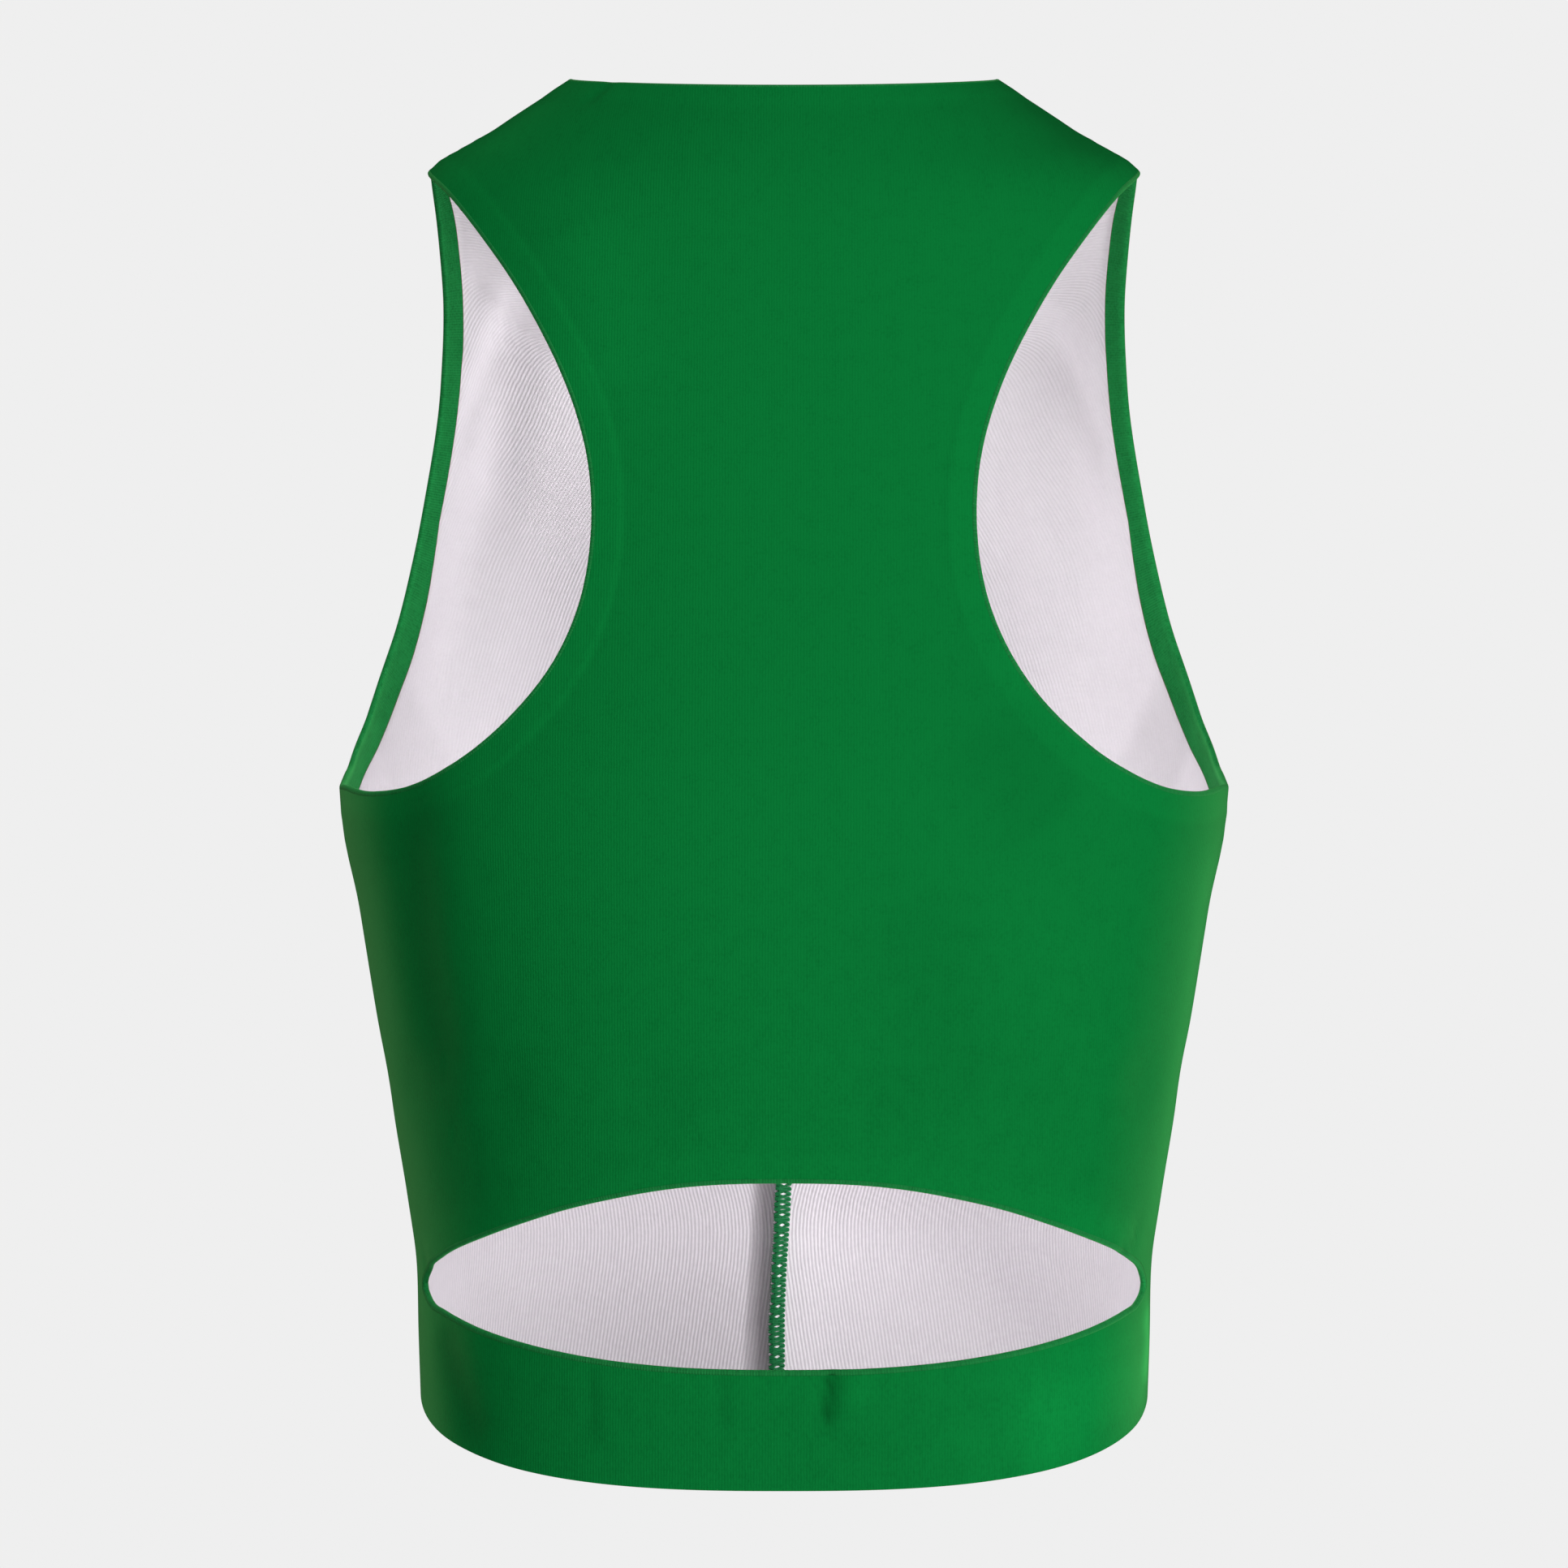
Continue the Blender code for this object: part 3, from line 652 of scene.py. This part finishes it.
def knit_material(name, yarn, shade, wales, courses, contrast, mottle, bump, rim=None):
    """One side of the knit, read from the piece's own cloth map; rim is the colour of its painted sheen at
    grazing views.
    """
    made, nodes, links, surface = new_material(name)
    tree = made.node_tree

    def value_of(title):
        reader = nodes.new("ShaderNodeAttribute")
        reader.attribute_name = title
        return reader.outputs["Fac"]

    cloth = nodes.new("ShaderNodeUVMap")
    cloth.uv_map = "cloth"
    face = nodes.new("ShaderNodeGroup")
    face.node_tree = KNIT_FACE
    for title, value in (
        ("Cloth", cloth.outputs[0]),
        ("Yarn", (*yarn, 1)),
        ("Shade", (*shade, 1)),
        ("Wales per metre", wales),
        ("Courses per metre", courses),
        ("Stitch contrast", maths(tree, "MULTIPLY", value_of("open"), contrast)),
        ("Mottle", mottle),
    ):
        feed(tree, face.inputs[title], value)
    relief = nodes.new("ShaderNodeBump")
    relief.inputs["Distance"].default_value = bump * MM
    links.new(face.outputs["Height"], relief.inputs["Height"])
    links.new(relief.outputs[0], surface.inputs["Normal"])
    # Painted sheen: at grazing views the colour is mixed towards the rim colour, as far as the piece's sheen
    # value lets it.
    grazing = nodes.new("ShaderNodeLayerWeight")
    grazing.inputs["Blend"].default_value = 0.5
    painted_sheen_share = nodes.new("ShaderNodeMapRange")
    painted_sheen_share.interpolation_type = "SMOOTHSTEP"
    painted_sheen_share.inputs["From Min"].default_value = PAINTED_SHEEN_FROM
    painted_sheen_share.inputs["From Max"].default_value = 1.0
    links.new(value_of("nap"), painted_sheen_share.inputs["To Max"])
    links.new(grazing.outputs["Facing"], painted_sheen_share.inputs["Value"])
    # Painted shade and painted light: the colour is scaled by the piece's tone, from its folds and hems.
    toned = nodes.new("ShaderNodeVectorMath")
    toned.operation = "SCALE"
    links.new(mixed(tree, painted_sheen_share.outputs[0], face.outputs["Colour"], (*(rim or yarn), 1)), toned.inputs[0])
    links.new(value_of("tone"), toned.inputs["Scale"])
    fray = nodes.new("ShaderNodeMapRange")
    fray.inputs["From Min"].default_value = FRAY_FROM
    fray.inputs["From Max"].default_value = FRAY_TO
    links.new(value_of("raw"), fray.inputs["Value"])
    links.new(mixed(tree, fray.outputs[0], toned.outputs[0], FRAY_COLOUR), surface.inputs["Base Color"])
    surface.inputs["Roughness"].default_value = 0.85
    surface.inputs["Specular IOR Level"].default_value = 0.03
    return made


GREEN_PAINTED_SHEEN = (0.080, 0.50, 0.12)
green_face = knit_material(
    "green face",
    yarn=(0.0024, 0.215, 0.040),
    shade=(0.0008, 0.135, 0.024),
    wales=1100.0,
    courses=500.0,
    contrast=0.22,
    mottle=1.3,
    bump=0.05,
    rim=GREEN_PAINTED_SHEEN,
)
white_face = knit_material(
    "off-white face",
    yarn=(0.82, 0.775, 0.82),
    shade=(0.52, 0.475, 0.525),
    wales=700.0,
    courses=330.0,
    contrast=0.60,
    mottle=0.4,
    bump=0.12,
)
cut_edge = knit_material(
    "cut edge",
    yarn=(0.004, 0.200, 0.040),
    shade=(0.001, 0.130, 0.024),
    wales=1100.0,
    courses=500.0,
    contrast=0.3,
    mottle=1.2,
    bump=0.05,
)

CROWDING = 1.5  # how much closer the columns lie towards the cut-out's ends
back_half = HOLE_COLUMNS + END_COLUMNS
back_armhole_row = BAND_ROWS + 1 + BODY_ROWS
back_shoulder_row = back_armhole_row + ARMHOLE_ROWS
back_rows = back_shoulder_row + SHOULDER_ROWS
cut_out_end = cut_out.share_of(CUT_OUT_END)
cut_out_step = CUT_OUT_END_EDGE / 2 / cut_out.length
shoulder_share = armhole.share_of(SHOULDER_TIP)


def back_hole_place(column, upper):
    """The cut-out's edge at a column, upper being 1 for its upper edge, or the line on to the side seam."""
    out = 1 - (1 - min(column / HOLE_COLUMNS, 1)) ** CROWDING
    above = (cut_out_end - cut_out_step) * out
    below = 0.5 - (0.5 - cut_out_end - cut_out_step) * out
    turn, level = cut_out_in.at(below + (above - below) * upper)
    beyond = max(column - HOLE_COLUMNS, 0) / END_COLUMNS
    return turn + (SIDE - turn) * beyond, level


def back_place(column, row):
    """The turn and level of a point of the back: band, cut-out, body, armholes and shoulders."""
    side = -1 if column < back_half else 1
    column = abs(column - back_half)
    out = column / back_half
    if row <= BAND_ROWS:
        turn, level = back_hole_place(column, 0)
        turn += (SIDE * out - turn) * (1 - row / BAND_ROWS)
        return side * turn, level * row / BAND_ROWS
    if row <= BAND_ROWS + 1:
        turn, level = back_hole_place(column, row - BAND_ROWS)
        return side * turn, level
    if row <= back_armhole_row:
        turn, level = back_hole_place(column, 1)
        share = (row - BAND_ROWS - 1) / BODY_ROWS
        return side * turn, level + (armhole_in.at(0)[1] - level) * share
    if row <= back_shoulder_row:
        turn, level = armhole_in.at(shoulder_share * (row - back_armhole_row) / ARMHOLE_ROWS)
        return side * min(turn, SIDE) * out, level
    share = (row - back_shoulder_row) / SHOULDER_ROWS
    first = armhole_in.at(shoulder_share)[1]
    return side * SIDE * out, first + (below_neck(SIDE * out) - first) * share


def in_cut_out(column, row):
    """Whether a cell of the back's grid is cut away."""
    return abs(column - back_half) < HOLE_COLUMNS and BAND_ROWS < row < BAND_ROWS + 1


back = panel(
    "back_cloth",
    2 * back_half,
    back_rows,
    back_place,
    RING_SIZES[:, 1],
    [(0, BAND_ROWS), (BAND_ROWS + 1, back_rows)],
    in_cut_out,
    (0, SEAM_GAP / 2, 0),
    [green_face, white_face, cut_edge],
)
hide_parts("back")
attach(back, "root")

# ------------------------------------------------------------
# The two front halves. The same knit, cut in one with their shoulders and joined down the middle.
# ------------------------------------------------------------


def front_half(name, side):
    """A front half, side being 1 for the wearer's left and -1 for the right. Its rows match the back's."""

    def place(column, row):
        out = column / FRONT_COLUMNS
        edge_turn = SIDE
        if row <= back_armhole_row:
            edge_level = armhole_in.at(0)[1] * row / back_armhole_row
        elif row <= back_shoulder_row:
            share = 1 - (1 - shoulder_share) * (row - back_armhole_row) / ARMHOLE_ROWS
            edge_turn, edge_level = armhole_in.at(min(share, 0.999999))
        else:
            first = armhole_in.at(shoulder_share)[1]
            edge_level = first + (below_neck(SIDE) - first) * (row - back_shoulder_row) / SHOULDER_ROWS
        centre_level = below_neck(FRONT) * row / back_rows
        turn = FRONT + (edge_turn - FRONT) * out
        level = centre_level + (edge_level - centre_level) * out**2
        if row == back_rows:
            level = below_neck(turn)
        return side * turn, level

    shift = (side * SEAM_GAP / 2, -SEAM_GAP / 2, 0)
    made = panel(
        name + "_cloth",
        FRONT_COLUMNS,
        back_rows,
        place,
        RING_SIZES[:, 2],
        [(0, back_rows)],
        lambda column, row: False,
        shift,
        [green_face, white_face, cut_edge],
    )
    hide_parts(name)
    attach(made, "root")
    return made


front_left = front_half("front_left", 1)
front_right = front_half("front_right", -1)

# ------------------------------------------------------------
# The hems. At each opening the cloth rolls over and is bonded to the inside of the panel, so a strip
# of its green face shows from inside, up to a thin raw edge.
# ------------------------------------------------------------
HEM_WIDENING = 4.2 * MM  # of an armhole hem for each level below WIDE_BELOW
WIDE_BELOW = 7.0
FRONT_WIDENING = 0.6  # how much more of it on the front, where the strip lies flatter
TIP_NARROWING, TIP_REACH = 0.40, 22 * MM  # where the strip turns over the shoulder tip
HEM_UNDER = 0.2 * MM  # between the panel's inside and the hem
WIDENING_TURN = 20  # degrees past the side line by which the front's widening is complete
ROLL_STEPS, STRIP_STEPS = 8, 4
ROLL_PAINTED_LIGHT = 1.2  # how much painted light lifts the fold itself, against its shade where it turns away from the lamps
# How much painted sheen the roll and the strip get.
ROLL_SHEEN, STRIP_SHEEN = 0.5, 0.25
MERGE = 1e-6
hem_face = knit_material(
    "green hem face",
    yarn=(0.014, 0.235, 0.054),
    shade=(0.004, 0.110, 0.024),
    wales=1100.0,
    courses=500.0,
    contrast=0.25,
    mottle=1.8,
    bump=0.10,
    rim=GREEN_PAINTED_SHEEN,
)


def hem_profile():
    """(share of the way in from the roll, distance from the opening, depth) round the folded strip."""
    deep = 2 * CLOTH + HEM_UNDER
    radius = deep / 2
    angles = np.linspace(0, math.pi, ROLL_STEPS + 1)
    outer = [(0, HEM_START, 0)]
    outer += [(0, radius - radius * math.sin(a), radius - radius * math.cos(a)) for a in angles]
    thin = radius - CLOTH
    inner = [(0, radius - thin * math.sin(a), radius - thin * math.cos(a)) for a in angles[::-1]]
    inner += [(0, HEM_START, CLOTH)]
    under = np.linspace(0, 1, STRIP_STEPS + 1)[1:]
    out_strip = [(share, radius, deep) for share in under]
    in_strip = [(share, radius, deep - CLOTH) for share in under[::-1]]
    return np.array([*outer, *out_strip, *in_strip, *inner])


def weld(mesh):
    """Merge the points where a closed shape's grid meets itself."""
    bm = bmesh.new()
    bm.from_mesh(mesh)
    bmesh.ops.remove_doubles(bm, verts=bm.verts[:], dist=MERGE)
    bm.to_mesh(mesh)
    bm.free()


def hem(name, node, edge, count, side, widening=0.0):
    """A folded strip swept round an opening in this many steps, side being -1 for its mirror image."""
    profile = hem_profile()
    mesh = mesh_from(flat_grid(count, len(profile)), name)
    column, row, _ = vertex_numbers(mesh)
    share = (column % count) / count
    strip, near, depth = profile[row % len(profile)].T
    width = HEM_WIDTH
    if widening:
        turn, level = edge.at(share)
        in_front = FRONT_WIDENING * soft_step((turn - SIDE) / WIDENING_TURN)
        from_tip = (share - shoulder_share) * edge.length / TIP_REACH
        width = HEM_WIDTH + widening * (1 + in_front) * np.maximum(WIDE_BELOW + in_front / 2 - level, 0)
        width = width * (1 - TIP_NARROWING * np.exp(-(from_tip**2)))
    turn, level = edge.across(share, near + strip * (width - near))
    points = cloth_point(side * turn, level, depth)
    along = edge.length * column / count
    # The roll is painted lighter, against the shade where it turns away from the lamps.
    on_roll = (strip == 0) & (depth > 0.3 * CLOTH)
    tone = tone_of(side * turn, level) * np.where(on_roll, ROLL_PAINTED_LIGHT, 1.0)
    nap = np.where(strip > 0, STRIP_SHEEN, ROLL_SHEEN)
    values = {"tone": tone, "nap": nap, "open": np.ones_like(tone), "raw": strip}
    finish_cloth(mesh, points, along, strip * width + depth, **values)
    weld(mesh)
    made = finish_object(mesh, name, [hem_face])
    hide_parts(node)
    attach(made, "root")
    return made


left_armhole_hem = hem("armhole_hem_left_cloth", "armhole_hem_left", armhole, 360, 1, HEM_WIDENING)
right_armhole_hem = hem("armhole_hem_right_cloth", "armhole_hem_right", armhole, 360, -1, HEM_WIDENING)
neck_hem = hem("neck_hem_cloth", "neck_hem", neck, 240, 1)
cut_out_hem = hem("cut_out_hem_cloth", "cut_out_hem", cut_out, 320, 1)

# ------------------------------------------------------------
# The centre front seam: its two allowances trimmed and overlocked together, standing in on the inside.
# ------------------------------------------------------------
RIDGE_HEIGHT, RIDGE_LEAN = 6.2 * MM, 38.0
PLIES = 2.0 * MM  # the two allowances together
THREAD = 0.5 * MM  # the thread's radius, as fluffy as it lies
STITCH = 1.95 * MM
LOOP_POINTS, THREAD_SIDES = 14, 5
PLY_SEGMENTS, PLY_ROWS = 150, 4
PLY_STOPS_SHORT = 2.6 * STITCH  # of the seam line's end
PLY_BEND = 0.7  # how far up a side, as a share, a thread starts to turn over the edge
LOOP_REACH = (0.94, 1.13)  # how far up, on the wearer's right side of the seam and on the left
EYE_AT, EYE_WIDTH = (0.68, 0.89), 0.13  # where up the side a loop opens widest, and over how much
LOOP_HALF_WIDTH, LOOP_SQUARENESS = 0.49 * MM, 0.35
LOOP_SLANT = 0.35 * MM
SEAM_FOOT, SEAM_POINTS = 0.06, 300  # the level it starts at, and the points it is read from
SEAM_DEPTH = 1.5 * CLOTH
seam_stop = below_neck(FRONT) - 0.45
seam_levels = np.linspace(SEAM_FOOT, seam_stop, SEAM_POINTS)
seam_line = cloth_point(np.full(SEAM_POINTS, FRONT), seam_levels, np.full(SEAM_POINTS, SEAM_DEPTH))
seam_lengths = np.concatenate([[0], np.cumsum(np.linalg.norm(np.diff(seam_line, axis=0), axis=1))])


def on_ridge(along, aside, height):
    """Points of the seam allowances: metres up the seam, aside from their middle, and in from the cloth."""
    level = np.interp(along, seam_lengths, seam_levels)
    lean = np.radians(RIDGE_LEAN) * soft_step((4.2 - level) / 1.6)  # upright from the bust up
    drift = 1.3 * MM * (1 - 2 * soft_step((level - 0.9) / 1.8)) * soft_step((5 - level) / 2)
    sway = 0.35 * MM * np.sin(along / (9 * MM)) + 0.2 * MM * np.sin(along / (3.7 * MM) + 1)
    root = np.stack([np.interp(along, seam_lengths, seam_line[:, axis]) for axis in range(3)], -1)
    points = root - outward(FRONT, level) * (height * np.cos(lean))[..., None]
    points[..., 0] += aside / np.cos(lean) + height * np.sin(lean) + drift + sway * height / RIDGE_HEIGHT
    return points


def seam_plies(finish):
    """The two allowances, as one strip of cloth standing on the seam."""
    bm = flat_grid(PLY_SEGMENTS, PLY_ROWS)
    thicken(bm)
    mesh = mesh_from(bm, "front_seam_plies")
    column, row, face = vertex_numbers(mesh)
    along = (seam_lengths[-1] - PLY_STOPS_SHORT) * column / PLY_SEGMENTS
    height = (RIDGE_HEIGHT - 2 * THREAD) * row / PLY_ROWS
    points = on_ridge(along, (face - 0.5) * PLIES, height)
    even = np.ones_like(height)
    finish_cloth(mesh, points, height, along, tone=even, nap=0 * even, open=even)
    made = finish_object(mesh, "front_seam_plies", [finish])
    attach(made, "root")
    return made


def ridge_section(up):
    """Where the middle of a thread runs over one side of the plies: 0 at their root, 1 over their edge."""
    half = PLIES / 2 + 0.55 * THREAD
    foot, corner = 0.5 * MM, RIDGE_HEIGHT - THREAD - half
    swing = np.clip((up - PLY_BEND) / (1 - PLY_BEND), 0, 1.5) * math.pi / 2
    straight = foot + (corner - foot) * up / PLY_BEND
    return half * np.cos(swing), np.where(up < PLY_BEND, straight, corner + half * np.sin(swing))


def thread_loop(stitch, angle, side):
    """The middle of one loop of thread at an angle round it: up one side of the plies and back."""
    up = (1 - np.cos(angle)) / 2 * np.where(side < 0, *LOOP_REACH)
    eye = np.where(stitch % 2 == 0, 1.3, 0.15) + 0.3 * np.sin(stitch * 2.4)  # every other loop lies open
    opened = 1 + eye * np.exp(-(((up - np.where(side < 0, *EYE_AT)) / EYE_WIDTH) ** 2))
    wave = np.sin(angle)
    spread = LOOP_HALF_WIDTH * np.sign(wave) * np.abs(wave) ** LOOP_SQUARENESS * opened
    along = (stitch + 0.75 + 0.25 * side) * STITCH + spread + LOOP_SLANT * up
    aside, height = ridge_section(up)
    return on_ridge(along, side * aside, height)


def seam_threads(finish):
    """Every loop of the overlock stitch, as one mesh: a ring of thread for each stitch and each side."""
    stitches = int(seam_lengths[-1] / STITCH) - 2
    span = LOOP_POINTS + 1
    bm = flat_grid(2 * stitches * span, THREAD_SIDES)
    between = [cell for cell in bm.faces if int(cell.calc_center_median().x) % span == LOOP_POINTS]
    bmesh.ops.delete(bm, geom=between, context="FACES")
    mesh = mesh_from(bm, "front_seam_thread")
    column, row, _ = vertex_numbers(mesh)
    loop, angle = column // span, (column % span % LOOP_POINTS) * math.tau / LOOP_POINTS
    angle[column == column.max()] = 0
    loop = np.minimum(loop, 2 * stitches - 1)
    stitch, side = loop // 2, np.where(loop % 2 == 0, -1, 1)
    middle = thread_loop(stitch, angle, side)
    ahead = unit(thread_loop(stitch, angle + 0.05, side) - thread_loop(stitch, angle - 0.05, side))
    across = unit(np.cross(ahead, np.array([0.3, 0.9, 0.3])))
    turn = (row % THREAD_SIDES) * math.tau / THREAD_SIDES
    ring = across * np.cos(turn)[:, None] + np.cross(ahead, across) * np.sin(turn)[:, None]
    finish_cloth(mesh, middle + ring * THREAD, stitch * STITCH, turn * THREAD)
    weld(mesh)
    made = finish_object(mesh, "front_seam_thread", [finish])
    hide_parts("front_seam")
    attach(made, "root")
    return made


thread_face, nodes, links, surface = new_material("green overlock thread")
surface.inputs["Roughness"].default_value = 0.6
surface.inputs["Specular IOR Level"].default_value = 0.08
spots = nodes.new("ShaderNodeTexCoord")
fluff = noise(thread_face.node_tree, spots.outputs["Object"], 1500.0, 2.0)
tones = mixed(thread_face.node_tree, fluff, (0.0035, 0.085, 0.023, 1), (0.016, 0.200, 0.065, 1))
links.new(tones, surface.inputs["Base Color"])
plies = seam_plies(white_face)
front_seam = seam_threads(thread_face)

# ------------------------------------------------------------
# The studio: soft lights round the garment, the strongest low on the viewer's right, small strips that
# light the inside alone, a pale floor, and a camera level with the middle of the back.
# ------------------------------------------------------------
scene = bpy.context.scene
scene.view_settings.view_transform = "Standard"
centre_z = -247.7 * MM
PALE = 0.863
CAMERA_AWAY = 0.9

world = bpy.data.worlds.new("studio")
scene.world = world
world.use_nodes = True
tree = world.node_tree
tree.nodes.clear()
pale = tree.nodes.new("ShaderNodeBackground")
pale.inputs[0].default_value = (PALE, PALE, PALE, 1)
dim = tree.nodes.new("ShaderNodeBackground")
dim.inputs[0].default_value = (1.0, 1.0, 0.96, 1)
dim.inputs[1].default_value = 0.03
path = tree.nodes.new("ShaderNodeLightPath")
either = tree.nodes.new("ShaderNodeMixShader")
sky = tree.nodes.new("ShaderNodeOutputWorld")
tree.links.new(path.outputs["Is Camera Ray"], either.inputs[0])
tree.links.new(dim.outputs[0], either.inputs[1])
tree.links.new(pale.outputs[0], either.inputs[2])
tree.links.new(either.outputs[0], sky.inputs[0])


def area_light(name, place, target, size, watts, colour=(1, 1, 1)):
    """A soft light: size is its width and height."""
    data = bpy.data.lights.new(name, "AREA")
    data.shape, data.size, data.size_y = "RECTANGLE", *size
    data.energy, data.color = watts, colour
    made = bpy.data.objects.new(name, data)
    scene.collection.objects.link(made)
    made.location = place
    made.rotation_euler = (Vector(target) - Vector(place)).to_track_quat("-Z", "Y").to_euler()
    made.visible_camera = False
    return made


SOFT_BOX = (0.9, 0.9)
middle = (0, 0, centre_z)
area_light("key", (-1.53, 1.28, centre_z - 1.0), middle, SOFT_BOX, 25.5)
area_light("overhead", (0, 1.84, centre_z + 1.29), middle, SOFT_BOX, 20.5)
area_light("fill", (0, 2.25, centre_z), middle, SOFT_BOX, 6.0)
area_light("rim left", (1.6, -1.2, centre_z - 0.2), middle, (0.5, 1.0), 7.3, (1.0, 0.78, 0.72))
area_light("front fill", (0, -2.2, centre_z + 0.5), middle, SOFT_BOX, 18.0)


def lit_pieces(name, pieces):
    """A collection that names which pieces a light falls on, or which ones cast its shadow."""
    made = bpy.data.collections.new(name)
    scene.collection.children.link(made)
    for piece in pieces:
        made.objects.link(piece)
    return made


# Narrow strips and a fill inside the top. Each falls on the pieces it names and on nothing else, which
# no real lamp does: it evens out the inside, that the soft lights leave too dark.
ridge_only = lit_pieces("ridge alone", [front_seam, plies])
for name, aside, watts, lit in (
    ("strip for the left half", -0.085, 0.37, [front_left, left_armhole_hem, front_seam, plies]),
    ("strip for the right half", 0.11, 0.34, [front_right, right_armhole_hem]),
):
    above = centre_z + 0.06
    strip = area_light(name, (aside, -0.043, above), (0, -0.096, above), (0.006, 0.55), watts)
    strip.data.use_shadow = aside < 0
    strip.light_linking.receiver_collection = lit_pieces(name + " falls on", lit)
    strip.light_linking.blocker_collection = ridge_only

for name, place, target, size, watts, lit in (
    ("strip low on the right", (0.12, -0.06, -0.42), (-0.09, -0.08, -0.42), (0.006, 0.10), 0.12, front_right),
    ("strip high on the left", (-0.02, 0.0, -0.05), (0.115, -0.08, -0.05), (0.006, 0.12), 0.062, front_left),
    ("inside fill", (0.6, 0.5, centre_z - 0.5), (0, -0.09, centre_z), (0.5, 0.5), 2.3, front_right),
):
    inside = area_light(name, place, target, size, watts)
    inside.data.use_shadow = False
    inside.light_linking.receiver_collection = lit_pieces(name + " falls on", [lit])

floor_material, nodes, links, surface = new_material("pale floor")
surface.inputs["Roughness"].default_value = 0.9
surface.inputs["Specular IOR Level"].default_value = 0.0
surface.inputs["Emission Strength"].default_value = 1.0
path = nodes.new("ShaderNodeLightPath")
# The camera sees an even pale tone with no shadow; every other ray meets an ordinary pale surface.
for title, seen, unseen in (("Base Color", 0.0, PALE), ("Emission Color", PALE, 0.0)):
    greys = [(grey, grey, grey, 1) for grey in (unseen, seen)]
    swap = mixed(floor_material.node_tree, path.outputs["Is Camera Ray"], *greys)
    links.new(swap, surface.inputs[title])
bm = bmesh.new()
bmesh.ops.create_grid(bm, x_segments=1, y_segments=1, size=0.75)
mesh = mesh_from(bm, "floor")
mesh.materials.append(floor_material)
floor = bpy.data.objects.new("floor", mesh)
scene.collection.objects.link(floor)
floor.location.z = -1.0

camera_data = bpy.data.cameras.new("camera")
camera_data.lens, camera_data.sensor_width = 58.85, 36.0
camera_data.clip_start, camera_data.clip_end = 0.01, 30.0
camera = bpy.data.objects.new("camera", camera_data)
scene.collection.objects.link(camera)
camera.location = (0.0, CAMERA_AWAY, centre_z)
camera.rotation_euler = (math.radians(90), 0, math.radians(180))
scene.camera = camera
